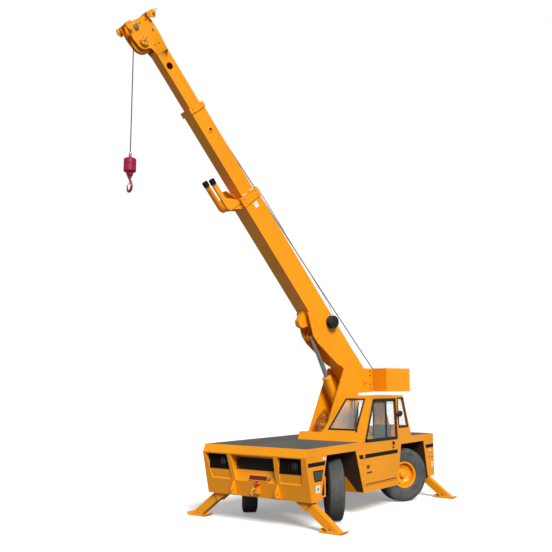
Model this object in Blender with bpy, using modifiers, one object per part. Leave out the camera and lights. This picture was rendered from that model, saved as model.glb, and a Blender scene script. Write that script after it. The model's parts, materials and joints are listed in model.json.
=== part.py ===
"""A carry deck mobile crane: a flat load deck on four steered wheels, a one-man cab
beside a slewing mast, and a three-section telescopic boom with one hoist line.

It is modelled about the slewing axis on the ground (+X forward, +Y to the cab's side,
+Z up), and the whole crane is then moved so that its origin is the middle of the
ground under it. Metres throughout.
"""

import math

import bmesh
import bpy
from mathutils import Matrix, Vector

# ---- Driving dimensions ----
GAP = 0.0003            # left between pieces that touch
RUNNING = 0.006         # left around pieces that slide or swing

BODY_HALF = 0.985       # half the width of the carrier
DECK_TOP = 1.175
DECK_DEPTH = 0.12       # from the deck's top to its underside
DECK_RIM = 0.04         # width of the painted rim round the deck plate
PLATE_THICK = 0.012     # anti-slip deck plate
NOSE_X = 2.40           # foremost edge, at the deck's underside
NOSE_TOP_X = 2.345      # the same edge at the deck's top
NOSE_FOOT_X = 2.241     # the front panel's lower edge
BODY_BOTTOM = 0.405     # lower edge of the front panel
REAR_X = -2.15
REAR_BOTTOM = 0.38
SHEET = 0.03            # thickness of the carrier's side and end plates

FRONT_AXLE_X = 1.35
REAR_AXLE_X = -1.20
KINGPIN_Y = 0.66
WHEEL_OFFSET = 0.14     # from the kingpin out to the wheel's centre plane
TYRE_RADIUS = 0.48
TYRE_HALF = 0.13        # half the tyre's width
RIM_RADIUS = 0.236      # over the rim's flanges
RIM_HALF = 0.11         # half the rim's width over the flanges
FLANGE_WIDE = 0.015
FLANGE_HIGH = 0.016
FRONT_STEER = 38.0      # degrees that the front wheels are turned left
REAR_STEER = -31.0
AXLE_RADIUS = 0.06

RAIL_IN = 0.22          # the chassis rails' inner and outer faces
RAIL_OUT = 0.32
RAIL_LOW = 0.62
RAIL_HIGH = 0.95

ARCH_TOP = 1.0547       # underside of the deck, less the gap
FRONT_ARCH = (0.92, 1.81)    # the front arch's ends at its top
FRONT_ARCH_LOW = (0.67, 1.985)
REAR_ARCH = (-1.70, -0.734)
REAR_ARCH_LOW = (-1.857, -0.56)
SILL_Z = 0.365          # underside of the boxes between the wheels
SIDE_BOX_IN = 0.50      # inner face of the boxes between the wheels

CAB_FRONT_X = 0.70      # foot of the leaning front wall, at the deck
CAB_FRONT_TOP_X = 0.365
CAB_ROOF_Z = 1.922
CAB_ROOF_REAR_X = -0.846
CAB_REAR_X = -1.181
CAB_IN = 0.515          # the cab's inner side wall
CAB_WALL = 0.035
CAB_CORNER_R = 0.603    # how far the cut inner corner stays from the slewing axis
CAB_FLOOR_Z = 0.45
COWL_TOP_Z = 1.305
COWL_Y = -0.29
COWL_DEPTH = 0.15
DOOR_FRONT_X = 0.673
DOOR_REAR_X = -0.60
DOOR_TOP_Z = 1.88
DOOR_GAP = 0.006
HINGE_RADIUS = 0.012
HINGE_HEIGHTS = (0.54, 0.97)
DOOR_HINGE = (DOOR_FRONT_X + 0.002, BODY_HALF + 0.012)

LEG_FRONT_X = 2.115     # the outriggers' places along the carrier
LEG_REAR_X = -1.96
LEG_Y = 0.835           # where each leg's axis crosses LEG_Z
LEG_Z = 0.38
LEG_SLOPE = 37.4        # degrees below the horizontal
LEG_DEEP = 0.13         # across the leg in the vertical plane
LEG_WIDE = 0.12         # along the carrier
LEG_INSIDE = 0.46       # from that crossing to the leg's upper end
HOUSING_WALL = 0.015
HOUSING_OUT = 0.055     # from that crossing to the housing's lower mouth
HOUSING_LENGTH = 0.46
FOOT_LONG = 0.40
FOOT_THICK = 0.022

TURRET_YAW = -16.0      # degrees, the boom's heading from straight ahead
RING_RADIUS = 0.455
RING_TOP = 1.235
MAST_HALF = 0.228
MAST_PLATE = 0.03
MAST_TOP = 2.41
MAST_REAR = -0.43       # rear edge below the overhang
MAST_OVERHANG = -0.796
MAST_OVERHANG_Z = 1.98
PIVOT_A = -0.616        # the boom's pivot
PIVOT_Z = 2.197
PIVOT_PIN_R = 0.045
HOUSE_REAR = -1.427     # the winch housing's rear face
HOUSE_HALF = 0.592
HOUSE_LOW = 1.988
HOUSE_WALL = 0.025
DRUM_A = -1.12
DRUM_Z = 2.22
DRUM_RADIUS = 0.10
DRUM_FLANGE = 0.155
DRUM_HALF = 0.16

BOOM_ANGLE = 50.24      # degrees above level
BASE_END = 4.10         # section ends, along the boom from its pivot
BASE_HALF = 0.16
BASE_LOW = -0.242
BASE_HIGH = 0.160
BASE_WALL = 0.012
COLLAR_LONG = 0.16
COLLAR_GROW = 0.014
MID_TAIL = 2.45
MID_END = 5.757
MID_HALF = 0.1175
MID_LOW = -0.160
MID_HIGH = 0.141
MID_WALL = 0.010
MID_COLLAR_LONG = 0.085
TIP_TAIL = 3.75
TIP_END = 6.80
TIP_HALF = 0.0875
TIP_LOW = -0.118
TIP_HIGH = 0.125
TIP_WALL = 0.010
HEAD_END = 7.375
SHEAVE_U = 7.015
SHEAVE_V = -0.214
SHEAVE_RADIUS = 0.18    # over its flanges
SHEAVE_GROOVE = 0.115   # where the rope lies
SHEAVE_HALF = 0.032
IDLER_U = 7.10
IDLER_V = 0.062
IDLER_RADIUS = 0.065
CHEEK = 0.014

LIFT_BASE_A = -0.30     # the lift cylinder's lower pin
LIFT_BASE_Z = 1.36
LIFT_EYE_U = 1.28       # and its rod's eye, under the boom
LIFT_EYE_V = -0.36
BARREL_RADIUS = 0.08
BARREL_LONG = 0.985
ROD_RADIUS = 0.042
EAR_IN = 0.055
EAR_THICK = 0.025

ROPE_RADIUS = 0.008
# Pin to eye with the boom level.
LIFT_CLOSED = math.hypot(PIVOT_A + LIFT_EYE_U - LIFT_BASE_A, PIVOT_Z + LIFT_EYE_V - LIFT_BASE_Z)
ROPE_END_Z = 5.57
BLOCK_RADIUS = 0.095
BLOCK_HIGH = 0.24
HOOK_BOTTOM_Z = 5.00

LIFT_ORANGE = (0.93, 0.36, 0.02)
PAINTS = {
    "paint": (LIFT_ORANGE, 0.35, 0.0),
    "deck_black": ((0.045, 0.047, 0.05), 0.85, 0.0),
    "dark_steel": ((0.06, 0.06, 0.065), 0.5, 0.6),
    "bare_steel": ((0.55, 0.56, 0.57), 0.3, 1.0),
    "rubber": ((0.035, 0.036, 0.038), 0.8, 0.0),
    "glass": ((0.62, 0.8, 0.8), 0.05, 0.0),
    "trim": ((0.03, 0.03, 0.03), 0.6, 0.0),
    "hook_red": ((0.45, 0.02, 0.09), 0.4, 0.0),
}

PLAN = Matrix.Identity(3)                                  # outlines in X, Y
SIDE = Matrix(((1, 0, 0), (0, 0, -1), (0, 1, 0)))          # outlines in X, Z
FRONT = Matrix(((0, 0, 1), (1, 0, 0), (0, 1, 0)))          # outlines in Y, Z


# ---- Scene, frames and materials ----
def clear_scene():
    for obj in list(bpy.data.objects):
        bpy.data.objects.remove(obj)


def new_collection(name):
    collection = bpy.data.collections.new(name)
    bpy.context.scene.collection.children.link(collection)
    return collection


def frame_at(name, location, parent, angle=0.0, axis="Z"):
    """An empty that carries the pieces of one moving body; angle is in degrees about axis."""
    empty = bpy.data.objects.new(name, None)
    empty.empty_display_size = 0.2
    empty.parent = parent
    empty.matrix_local = Matrix.Translation(location) @ Matrix.Rotation(math.radians(angle), 4, axis)
    parts.objects.link(empty)
    return empty


def material_of(slot):
    material = bpy.data.materials.get(slot)
    if material is None:
        colour, roughness, metallic = PAINTS[slot]
        material = bpy.data.materials.new(slot)
        material.use_nodes = True
        shader = material.node_tree.nodes["Principled BSDF"]
        shader.inputs["Base Color"].default_value = (*colour, 1.0)
        shader.inputs["Roughness"].default_value = roughness
        shader.inputs["Metallic"].default_value = metallic
    return material


def add_object(name, mesh, parent):
    """Every new mesh starts as a helper; finish() makes it a piece of the crane."""
    obj = bpy.data.objects.new(name, mesh)
    obj.parent = parent
    obj.hide_render = True
    obj.display_type = "WIRE"
    helpers.objects.link(obj)
    return obj


def finish(obj, name, slot, smooth=30.0):
    obj.name = name
    obj.data.name = name
    obj.hide_render = False
    obj.display_type = "TEXTURED"
    helpers.objects.unlink(obj)
    parts.objects.link(obj)
    obj.data.materials.clear()
    obj.data.materials.append(material_of(slot))
    obj.data.shade_smooth()
    obj.data.set_sharp_from_angle(angle=math.radians(smooth))
    return obj


# ---- Shapes ----
def mesh_object(name, bm, parent):
    mesh = bpy.data.meshes.new(name)
    bmesh.ops.recalc_face_normals(bm, faces=bm.faces)
    bm.to_mesh(mesh)
    bm.free()
    return add_object(name, mesh, parent)


def box(low, high, parent, turn=0.0, about=(0, 0, 0)):
    """A box between two corners; turn is in degrees about the Y axis through about."""
    low, high = Vector(low), Vector(high)
    bm = bmesh.new()
    bmesh.ops.create_cube(bm, size=1.0)
    bmesh.ops.scale(bm, vec=high - low, verts=bm.verts)
    bmesh.ops.translate(bm, vec=(high + low) / 2, verts=bm.verts)
    bmesh.ops.rotate(bm, cent=about, matrix=Matrix.Rotation(math.radians(turn), 3, "Y"), verts=bm.verts)
    return mesh_object("box", bm, parent)


def rod(start, end, radius, parent, segments=24, end_radius=None):
    """A cylinder or cone from start to end."""
    start, end = Vector(start), Vector(end)
    turn = Vector((0, 0, 1)).rotation_difference(end - start).to_matrix().to_4x4()
    bm = bmesh.new()
    bmesh.ops.create_cone(
        bm, cap_ends=True, segments=segments, radius1=radius,
        radius2=radius if end_radius is None else end_radius, depth=(end - start).length,
        matrix=Matrix.Translation((start + end) / 2) @ turn,
    )
    return mesh_object("rod", bm, parent)


def as_mesh(curve, name, parent):
    """The curve object's shape as a closed mesh, which a Boolean can use."""
    helpers.objects.link(curve)
    graph = bpy.context.evaluated_depsgraph_get()
    mesh = bpy.data.meshes.new_from_object(curve.evaluated_get(graph))
    bm = bmesh.new()
    bm.from_mesh(mesh)
    bm.transform(curve.matrix_world)
    bmesh.ops.remove_doubles(bm, verts=bm.verts, dist=0.00001)
    bpy.data.objects.remove(curve)
    bpy.data.meshes.remove(mesh)
    return mesh_object(name, bm, parent)


def plate(outline, low, high, view, parent, holes=()):
    """A flat outline in the plane of view, from low to high along that plane's normal."""
    data = bpy.data.curves.new("outline", "CURVE")
    data.dimensions = "2D"
    data.fill_mode = "BOTH"
    data.extrude = abs(high - low) / 2
    for loop in (outline, *holes):
        spline = data.splines.new("POLY")
        spline.points.add(len(loop) - 1)
        for point, (x, y) in zip(spline.points, loop):
            point.co = (x, y, 0, 1)
        spline.use_cyclic_u = True
    normal = view.col[2]
    along = normal * (1 if sum(normal) > 0 else -1)
    curve = bpy.data.objects.new("outline", data)
    curve.matrix_world = Matrix.Translation(along * (low + high) / 2) @ view.to_4x4()
    bpy.context.view_layer.update()
    return as_mesh(curve, "plate", parent)


def pipe(points, radius, parent, resolution=2, cyclic=False):
    """A round bar through the points, with filled ends."""
    data = bpy.data.curves.new("pipe", "CURVE")
    data.dimensions = "3D"
    data.bevel_depth = radius
    data.bevel_resolution = resolution
    data.use_fill_caps = not cyclic
    spline = data.splines.new("POLY")
    spline.points.add(len(points) - 1)
    for point, place in zip(spline.points, points):
        point.co = (*place, 1)
    spline.use_cyclic_u = cyclic
    return as_mesh(bpy.data.objects.new("pipe", data), "pipe", parent)


def turned(profile, parent, place=(0, 0, 0), axis=(0, 0, 1), steps=32, ring=False):
    """A profile of (radius, height) turned about axis; a ring's profile is a closed loop."""
    mesh = bpy.data.meshes.new("turned")
    edges = [(i, i + 1) for i in range(len(profile) - 1)]
    if ring:
        edges.append((len(profile) - 1, 0))
    mesh.from_pydata([(r, 0, h) for r, h in profile], edges, [])
    obj = add_object("turned", mesh, parent)
    obj.location = place
    obj.rotation_mode = "QUATERNION"
    obj.rotation_quaternion = Vector((0, 0, 1)).rotation_difference(Vector(axis))
    screw = obj.modifiers.new("turn", "SCREW")
    screw.steps = screw.render_steps = steps
    screw.use_merge_vertices = True
    screw.merge_threshold = 0.0001
    return obj


def arc(centre, radius, start, end, count=8):
    """Points of an arc in a plane, from start to end in degrees, both ends kept."""
    angles = [math.radians(start + (end - start) * i / count) for i in range(count + 1)]
    return [(centre[0] + radius * math.cos(t), centre[1] + radius * math.sin(t)) for t in angles]


def circle(centre, radius, count=20):
    return arc(centre, radius, 0, 360 * (count - 1) / count, count - 1)


def rounded(corners, radius, count=4):
    """An outline with its corners rounded by an arc of the given radius."""
    points = []
    for i, corner in enumerate(corners):
        here = Vector(corner)
        before = (Vector(corners[i - 1]) - here).normalized()
        after = (Vector(corners[(i + 1) % len(corners)]) - here).normalized()
        half = math.acos(max(-1, min(1, before.dot(after)))) / 2
        centre = here + (before + after).normalized() * radius / math.sin(half)
        start = here + before * radius / math.tan(half) - centre
        swing = start.angle_signed(here + after * radius / math.tan(half) - centre)
        for step in range(count + 1):
            points.append(tuple(centre + Matrix.Rotation(-swing * step / count, 2) @ start))
    return points


def combine(obj, others, operation):
    for other in others:
        modifier = obj.modifiers.new(operation.lower(), "BOOLEAN")
        modifier.operation = operation
        modifier.solver = "EXACT"
        modifier.object = other
    return obj


def fuse(obj, *others):
    return combine(obj, others, "UNION")


def cut(obj, *others):
    return combine(obj, others, "DIFFERENCE")


def common(obj, *others):
    return combine(obj, others, "INTERSECT")


def along_line(start, end, at, index=1):
    """Where the line from start to end crosses the value at in the given coordinate."""
    share = (at - start[index]) / (end[index] - start[index])
    return start[1 - index] + share * (end[1 - index] - start[1 - index])


# ---- Carrier ----
def make_chassis(carrier):
    leg_side = LEG_WIDE / 2 + RUNNING + HOUSING_WALL
    rail_rear = LEG_REAR_X + leg_side + 0.02
    frame = box((rail_rear, RAIL_IN, RAIL_LOW), (1.95, RAIL_OUT, RAIL_HIGH), carrier)
    fuse(frame, box((rail_rear, -RAIL_OUT, RAIL_LOW), (1.95, -RAIL_IN, RAIL_HIGH), carrier))
    reach = SIDE_BOX_IN - GAP
    for x in (-0.45, 0.45):
        fuse(frame, box((x - 0.05, -reach, RAIL_LOW + 0.02), (x + 0.05, reach, RAIL_LOW + 0.12), carrier))
    for x in (rail_rear + 0.045, -0.20, 0.75, 1.85):
        fuse(frame, box((x - 0.04, -RAIL_OUT + 0.01, RAIL_LOW + 0.14),
                        (x + 0.04, RAIL_OUT - 0.01, ARCH_TOP - GAP), carrier))
    finish(frame, "chassis_frame", "dark_steel")
    engine = box((-1.75, -RAIL_IN + 0.02, RAIL_LOW + 0.01), (-0.80, RAIL_IN - 0.02, 1.03), carrier)
    fuse(engine, box((-1.70, -RAIL_IN - 0.005 + 0.02, RAIL_LOW + 0.1),
                     (-1.60, RAIL_IN - GAP, RAIL_LOW + 0.16), carrier))
    finish(engine, "engine_block", "dark_steel")


def cab_corner(offset, low, high, parent):
    """The space beside the mast that the cab leaves free, as a cutter; offset moves it outwards."""
    reach = CAB_CORNER_R + offset
    inner = CAB_IN + offset
    nx, ny = 0.788, 0.6157
    start_x = (reach - ny * inner) / nx
    end_x = 0.9
    outline = [(-2.6, inner), (start_x, inner), (end_x, (reach - nx * end_x) / ny), (end_x, -1.2),
               (-2.6, -1.2)]
    return plate(outline, low, high, PLAN, parent)


def make_deck(carrier):
    under = DECK_TOP - DECK_DEPTH
    nose = [(REAR_X, under), (NOSE_X, under), (NOSE_TOP_X, DECK_TOP), (REAR_X, DECK_TOP)]
    deck = plate(nose, -BODY_HALF, BODY_HALF, SIDE, carrier)
    rim_front, rim_side = NOSE_TOP_X - DECK_RIM, BODY_HALF - DECK_RIM
    corner_x = 0.712
    beside = CAB_IN - 0.008
    slant_y = (CAB_CORNER_R - 0.788 * corner_x) / 0.6157 - 0.01
    slant_x = (CAB_CORNER_R - 0.6157 * beside) / 0.788 - 0.01

    def pocket(inset, low, high):
        front, side = rim_front - inset, rim_side - inset
        behind = CAB_REAR_X - 0.008 - inset
        outline = [(front, -side), (front, side), (corner_x + inset, side),
                   (corner_x + inset, slant_y - 2 * inset),
                   (slant_x, beside - inset), (behind, beside - inset), (behind, side),
                   (REAR_X + DECK_RIM + inset, side), (REAR_X + DECK_RIM + inset, -side)]
        return plate(outline, low, high, PLAN, carrier)

    well = plate([(DOOR_REAR_X, CAB_IN + CAB_WALL), (0.30, CAB_IN + CAB_WALL), (DOOR_FRONT_X, 0.30),
                  (DOOR_FRONT_X, 1.2), (DOOR_REAR_X, 1.2)], under - 0.05, DECK_TOP + 0.05, PLAN, carrier)
    cut(deck, pocket(0, DECK_TOP - PLATE_THICK, DECK_TOP + 0.05), well)
    finish(deck, "deck_frame", "paint")
    finish(pocket(GAP, DECK_TOP - PLATE_THICK + GAP, DECK_TOP), "deck_plate", "deck_black")


def recess(y_top, y_low, z_top, z_low, carrier):
    """A cutter for one opening of the front panel, with a sloping floor."""
    depth_x = 2.245
    profile = [(depth_x, z_top), (2.6, z_top), (2.6, z_low - 0.16), (2.29, z_low), (depth_x, z_low + 0.15)]
    cutter = plate(profile, -1.2, 1.2, SIDE, carrier)
    quad = [(y_low[0], z_low - 0.02), (y_low[1], z_low - 0.02), (y_top[1], z_top + 0.02),
            (y_top[0], z_top + 0.02)]
    return common(cutter, plate(quad, 2.0, 2.8, FRONT, carrier))


def make_front(carrier):
    back_x = LEG_FRONT_X + LEG_WIDE / 2 + RUNNING + HOUSING_WALL + GAP
    profile = [(NOSE_X, ARCH_TOP), (NOSE_FOOT_X, BODY_BOTTOM), (back_x, BODY_BOTTOM), (back_x, ARCH_TOP)]
    panel = plate(profile, -BODY_HALF, BODY_HALF, SIDE, carrier)
    cut(panel,
        recess((-0.94, -0.50), (-0.86, -0.46), 1.040, 0.655, carrier),
        recess((-0.425, 0.425 - 0.03), (-0.385, 0.385), 1.040, 0.645, carrier),
        recess((0.47, 0.90), (0.46, 0.86), 1.040, 0.655, carrier))
    inner = BODY_HALF - SHEET
    for side in (-1, 1):
        low, high = sorted((side * inner, side * BODY_HALF))
        skin = [(FRONT_ARCH[1], ARCH_TOP), (back_x + 0.02, ARCH_TOP), (back_x + 0.02, BODY_BOTTOM),
                (FRONT_ARCH_LOW[1], BODY_BOTTOM)]
        fuse(panel, plate(skin, low, high, SIDE, carrier))
        wall = [(FRONT_ARCH[1], ARCH_TOP), (FRONT_ARCH[1] + 0.02, ARCH_TOP),
                (FRONT_ARCH_LOW[1] + 0.02, BODY_BOTTOM), (FRONT_ARCH_LOW[1], BODY_BOTTOM)]
        low, high = sorted((side * (RAIL_OUT + 0.04), side * (inner + 0.01)))
        fuse(panel, plate(wall, low, high, SIDE, carrier))
        ear = [(2.25, 0.42), (2.36, 0.44), (2.37, 0.50), (2.30, 0.63), (2.26, 0.60)]
        fuse(panel, plate(ear, side * 0.42 - 0.015, side * 0.42 + 0.015, SIDE, carrier,
                          holes=[circle((2.325, 0.485), 0.022, 12)]))
    finish(panel, "front_body", "paint")
    hook = box((2.24, -0.06, 0.47), (2.31, 0.06, 0.57), carrier)
    face = [(along_line((NOSE_X, ARCH_TOP), (NOSE_FOOT_X, BODY_BOTTOM), z) + GAP * 1.5, z) for z in (0.3,
                                                                                                     0.8)]
    cut(hook, plate([(2.0, 0.3), face[0], face[1], (2.0, 0.8)], -0.2, 0.2, SIDE, carrier))
    fuse(hook, pipe([(2.30, 0, 0.54), (2.37, 0, 0.54), (2.40, 0, 0.515), (2.40, 0, 0.475),
                     (2.375, 0, 0.45)],
                    0.015, carrier))
    finish(hook, "tow_hook", "dark_steel")


def make_rear(carrier):
    inner = BODY_HALF - SHEET
    body = box((REAR_X, -inner - 0.01, REAR_BOTTOM + 0.002),
               (REAR_X + SHEET, inner + 0.01, ARCH_TOP - 0.001), carrier)
    for side in (-1, 1):
        low, high = sorted((side * inner, side * BODY_HALF))
        skin = [(REAR_ARCH[0], ARCH_TOP), (REAR_X - 0.002, ARCH_TOP), (REAR_X - 0.002, REAR_BOTTOM),
                (REAR_ARCH_LOW[0], REAR_BOTTOM)]
        fuse(body, plate(skin, low, high, SIDE, carrier))
        wall = [(REAR_ARCH[0] - 0.001, ARCH_TOP - 0.001), (REAR_ARCH[0] - 0.016, ARCH_TOP - 0.001),
                (REAR_ARCH_LOW[0] - 0.013, REAR_BOTTOM + 0.002),
                (REAR_ARCH_LOW[0] - 0.001, REAR_BOTTOM + 0.002)]
        low, high = sorted((side * (RAIL_OUT + 0.04), side * (inner + 0.01)))
        fuse(body, plate(wall, low, high, SIDE, carrier))
    finish(body, "rear_body", "paint")


def side_box_profile(inset):
    front = ((FRONT_ARCH[0] - inset, ARCH_TOP), (FRONT_ARCH_LOW[0] - inset, SILL_Z))
    rear = ((REAR_ARCH[1] + inset, ARCH_TOP), (REAR_ARCH_LOW[1] + inset, SILL_Z))
    return [front[0], front[1], rear[1], rear[0]]


def door_outline(inset):
    """The door's edge: upright at the back, leaning with the cab's front pillar above the deck."""
    lean = (CAB_FRONT_X - CAB_FRONT_TOP_X) / (CAB_ROOF_Z - DECK_TOP)
    front, rear = DOOR_FRONT_X - inset, DOOR_REAR_X + inset
    knee_z = 1.10
    top = DOOR_TOP_Z - inset
    return [(front, CAB_FLOOR_Z + 0.01 + inset), (front, knee_z),
            (front - 0.055 - lean * (top - DECK_TOP), top),
            (rear + 0.03, top), (rear, knee_z), (rear, CAB_FLOOR_Z + 0.01 + inset)]


def make_side_boxes(carrier):
    tub = plate(side_box_profile(0), SIDE_BOX_IN, BODY_HALF, SIDE, carrier)
    well = [(DOOR_FRONT_X + 0.05, ARCH_TOP + 0.1), (DOOR_FRONT_X - 0.03, CAB_FLOOR_Z),
            (REAR_ARCH_LOW[1] + 0.03, CAB_FLOOR_Z), (DOOR_REAR_X - 0.05, ARCH_TOP + 0.1)]
    cut(tub, plate(well, SIDE_BOX_IN + CAB_WALL, BODY_HALF - CAB_WALL - 0.012, SIDE, carrier),
        plate(door_outline(0), BODY_HALF - 0.2, BODY_HALF + 0.1, SIDE, carrier))
    for z in HINGE_HEIGHTS:
        fuse(tub, rod((*DOOR_HINGE, z + GAP), (*DOOR_HINGE, z + 0.045), HINGE_RADIUS, carrier, 12),
             box((DOOR_HINGE[0], BODY_HALF - 0.004, z + 0.002),
                 (DOOR_HINGE[0] + 0.03, BODY_HALF + 0.008, z + 0.043),
                 carrier))
    finish(tub, "cab_base", "paint")
    finish(plate(side_box_profile(0), -BODY_HALF, -SIDE_BOX_IN, SIDE, carrier), "right_tank", "paint")


# ---- Cab ----
def cab_profile(inset, foot):
    lean = (CAB_FRONT_X - CAB_FRONT_TOP_X) / (CAB_ROOF_Z - DECK_TOP)
    rear_lean = (CAB_ROOF_REAR_X - CAB_REAR_X) / (CAB_ROOF_Z - DECK_TOP)
    top = CAB_ROOF_Z - inset
    along, back = inset * math.hypot(1, lean), inset * math.hypot(1, rear_lean)
    return [(CAB_FRONT_X - along - lean * (foot - DECK_TOP), foot),
            (CAB_FRONT_X - along - lean * (top - DECK_TOP), top),
            (CAB_REAR_X + back + rear_lean * (top - DECK_TOP), top),
            (CAB_REAR_X + back + rear_lean * (foot - DECK_TOP), foot)]


def windshield_outline(inset):
    """In Y and height; the inner edge leans with the cut corner."""
    return [(0.30 + inset * 1.6, 1.365 + inset), (0.83 - inset, 1.365 + inset),
            (0.87 - inset, 1.865 - inset), (0.515 + inset, 1.865 - inset)]


def quarter_outline(inset):
    return [(-0.66 - inset, 1.36 + inset), (-0.61 - inset, 1.87 - inset),
            (-0.835 + inset * 0.6, 1.87 - inset),
            (-1.02 + inset * 1.4, 1.36 + inset)]


def rear_outline(inset):
    return [(0.56 + inset, 1.36 + inset), (0.94 - inset, 1.36 + inset), (0.94 - inset, 1.865 - inset),
            (0.56 + inset, 1.865 - inset)]


def inner_outline(inset):
    return [(-0.62 + inset, 1.36 + inset), (0.30 - inset, 1.36 + inset), (0.22 - inset, 1.86 - inset),
            (-0.62 + inset, 1.86 - inset)]


def door_window_outline(inset):
    return rounded([(0.585 - inset, 1.19 + inset), (0.29 - inset, 1.845 - inset),
                    (-0.515 + inset, 1.845 - inset),
                    (-0.565 + inset, 1.18 + inset)], 0.05)


def make_cab(carrier):
    seat_z = DECK_TOP + GAP
    shell = plate(cab_profile(0, seat_z), COWL_Y, BODY_HALF, SIDE, carrier)
    hollow = plate(cab_profile(CAB_WALL, seat_z - 0.1), COWL_Y - 1, BODY_HALF - CAB_WALL, SIDE, carrier)
    cut(hollow, cab_corner(CAB_WALL, seat_z - 0.5, 3, carrier))
    cut(shell, cab_corner(0, seat_z - 0.5, 3, carrier), hollow,
        plate(door_outline(0), BODY_HALF - 0.1, BODY_HALF + 0.1, SIDE, carrier),
        plate(windshield_outline(0), 0.25, 1.2, FRONT, carrier),
        plate(quarter_outline(0), BODY_HALF - 0.1, BODY_HALF + 0.1, SIDE, carrier),
        plate(rear_outline(0), -1.6, -0.6, FRONT, carrier),
        plate(inner_outline(0), CAB_IN - 0.1, CAB_IN + 0.1, SIDE, carrier))
    finish(shell, "cab_shell", "paint")

    cowl = plate([(x, z) for x, z in cab_profile(0, seat_z)[:1]] +
                 [(along_line(*cab_profile(0, seat_z)[:2], COWL_TOP_Z), COWL_TOP_Z),
                  (CAB_FRONT_X - COWL_DEPTH, COWL_TOP_Z), (CAB_FRONT_X - COWL_DEPTH, seat_z)],
                 COWL_Y, 0.6, SIDE, carrier)
    outside = plate([(0.2, 0.515 + (CAB_CORNER_R - 0.788 * 0.2 - 0.6157 * 0.515) / 0.6157 - 0.001),
                     (0.9, (CAB_CORNER_R - 0.788 * 0.9) / 0.6157 - 0.001), (0.9, 1.2), (0.2, 1.2)],
                    1.0, 1.6, PLAN, carrier)
    cut(cowl, outside)
    finish(cowl, "front_cowl", "paint")


def glass_sheet(outline, view, around, low, high, parent, name):
    """A pane: the window's outline cut to a thin slice of the wall around it."""
    pane = plate(outline, low, high, view, parent)
    common(pane, around)
    return finish(pane, name, "glass")


def make_windows(carrier):
    inset = GAP
    middle = CAB_WALL / 2
    thick = 0.003

    def slice_of(depth):
        outer = plate(cab_profile(depth, DECK_TOP), -1, BODY_HALF - depth, SIDE, carrier)
        cut(outer, cab_corner(depth, 0, 3, carrier))
        return outer

    def skin():
        outer = slice_of(middle - thick)
        return cut(outer, slice_of(middle + thick))

    glass_sheet(windshield_outline(inset), FRONT, skin(), 0.3, 1.0, carrier, "windshield")
    glass_sheet(rear_outline(inset), FRONT, skin(), -1.3, -0.6, carrier, "rear_window")
    glass_sheet(quarter_outline(inset), SIDE, skin(), BODY_HALF - 0.1, BODY_HALF, carrier, "quarter_window")
    glass_sheet(inner_outline(inset), SIDE, skin(), CAB_IN - 0.05, CAB_IN + 0.05, carrier, "inner_window")


def make_door(hinge):
    """The door's frame is its hinge line: X and Y are counted from there."""
    outer, inner = BODY_HALF - DOOR_HINGE[1], BODY_HALF - CAB_WALL - DOOR_HINGE[1]

    def moved(points):
        return [(x - DOOR_HINGE[0], z) for x, z in points]

    door = plate(moved(door_outline(DOOR_GAP)), inner, outer, SIDE, hinge)
    cut(door, plate(moved(door_window_outline(0)), inner - 0.1, outer + 0.1, SIDE, hinge))
    for z in HINGE_HEIGHTS:
        fuse(door, rod((0, 0, z - 0.045), (0, 0, z), HINGE_RADIUS, hinge, 12),
             box((-0.05, outer + GAP, z - 0.043), (0, outer + 0.008, z - 0.002), hinge),
             box((-0.05, outer - 0.004, z - 0.043), (-0.012, outer + 0.006, z - 0.002), hinge))
    finish(door, "cab_door", "paint")
    middle = (inner + outer) / 2
    finish(plate(moved(door_window_outline(GAP)), middle - 0.003, middle + 0.003, SIDE, hinge),
           "door_window", "glass")


def make_cab_inside(carrier):
    floor = CAB_FLOOR_Z + GAP
    middle_y = (CAB_IN + CAB_WALL + BODY_HALF - CAB_WALL) / 2
    half = 0.18
    seat = box((-0.43, middle_y - half, 0.80), (0.05, middle_y + half, 0.92), carrier)
    fuse(seat, box((-0.55, middle_y - half, 0.84), (-0.41, middle_y + half, 1.42), carrier),
         box((-0.36, middle_y - 0.14, floor), (-0.04, middle_y + 0.14, 0.82), carrier))
    finish(seat, "driver_seat", "trim")
    console = box((0.30, middle_y - 0.18, floor), (0.42, middle_y + 0.18, 1.12), carrier)
    fuse(console, box((0.30, middle_y - 0.18, 1.02), (0.52, middle_y + 0.18, 1.20), carrier))
    finish(console, "dash_console", "trim")
    centre = Vector((0.18, middle_y, 1.26))
    lean = Matrix.Rotation(math.radians(-35), 3, "Y")
    wheel_points = [centre + lean @ Vector((0.17 * math.cos(t), 0.17 * math.sin(t), 0))
                    for t in [math.tau * i / 20 for i in range(20)]]
    wheel = pipe(wheel_points, 0.012, carrier, cyclic=True)
    for angle in (90, 210, 330):
        turn = math.radians(angle)
        tip = centre + lean @ Vector((0.168 * math.cos(turn), 0.168 * math.sin(turn), 0))
        fuse(wheel, rod(centre, tip, 0.009, carrier, 8))
    foot = centre + lean @ Vector((0, 0, -0.5))
    fuse(wheel, rod(centre + lean @ Vector((0, 0, 0.01)), foot, 0.02, carrier, 12))
    cut(wheel, box((0.30 - GAP, middle_y - 0.3, 0.5), (0.8, middle_y + 0.3, 1.3), carrier))
    finish(wheel, "steering_wheel", "trim")


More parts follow.
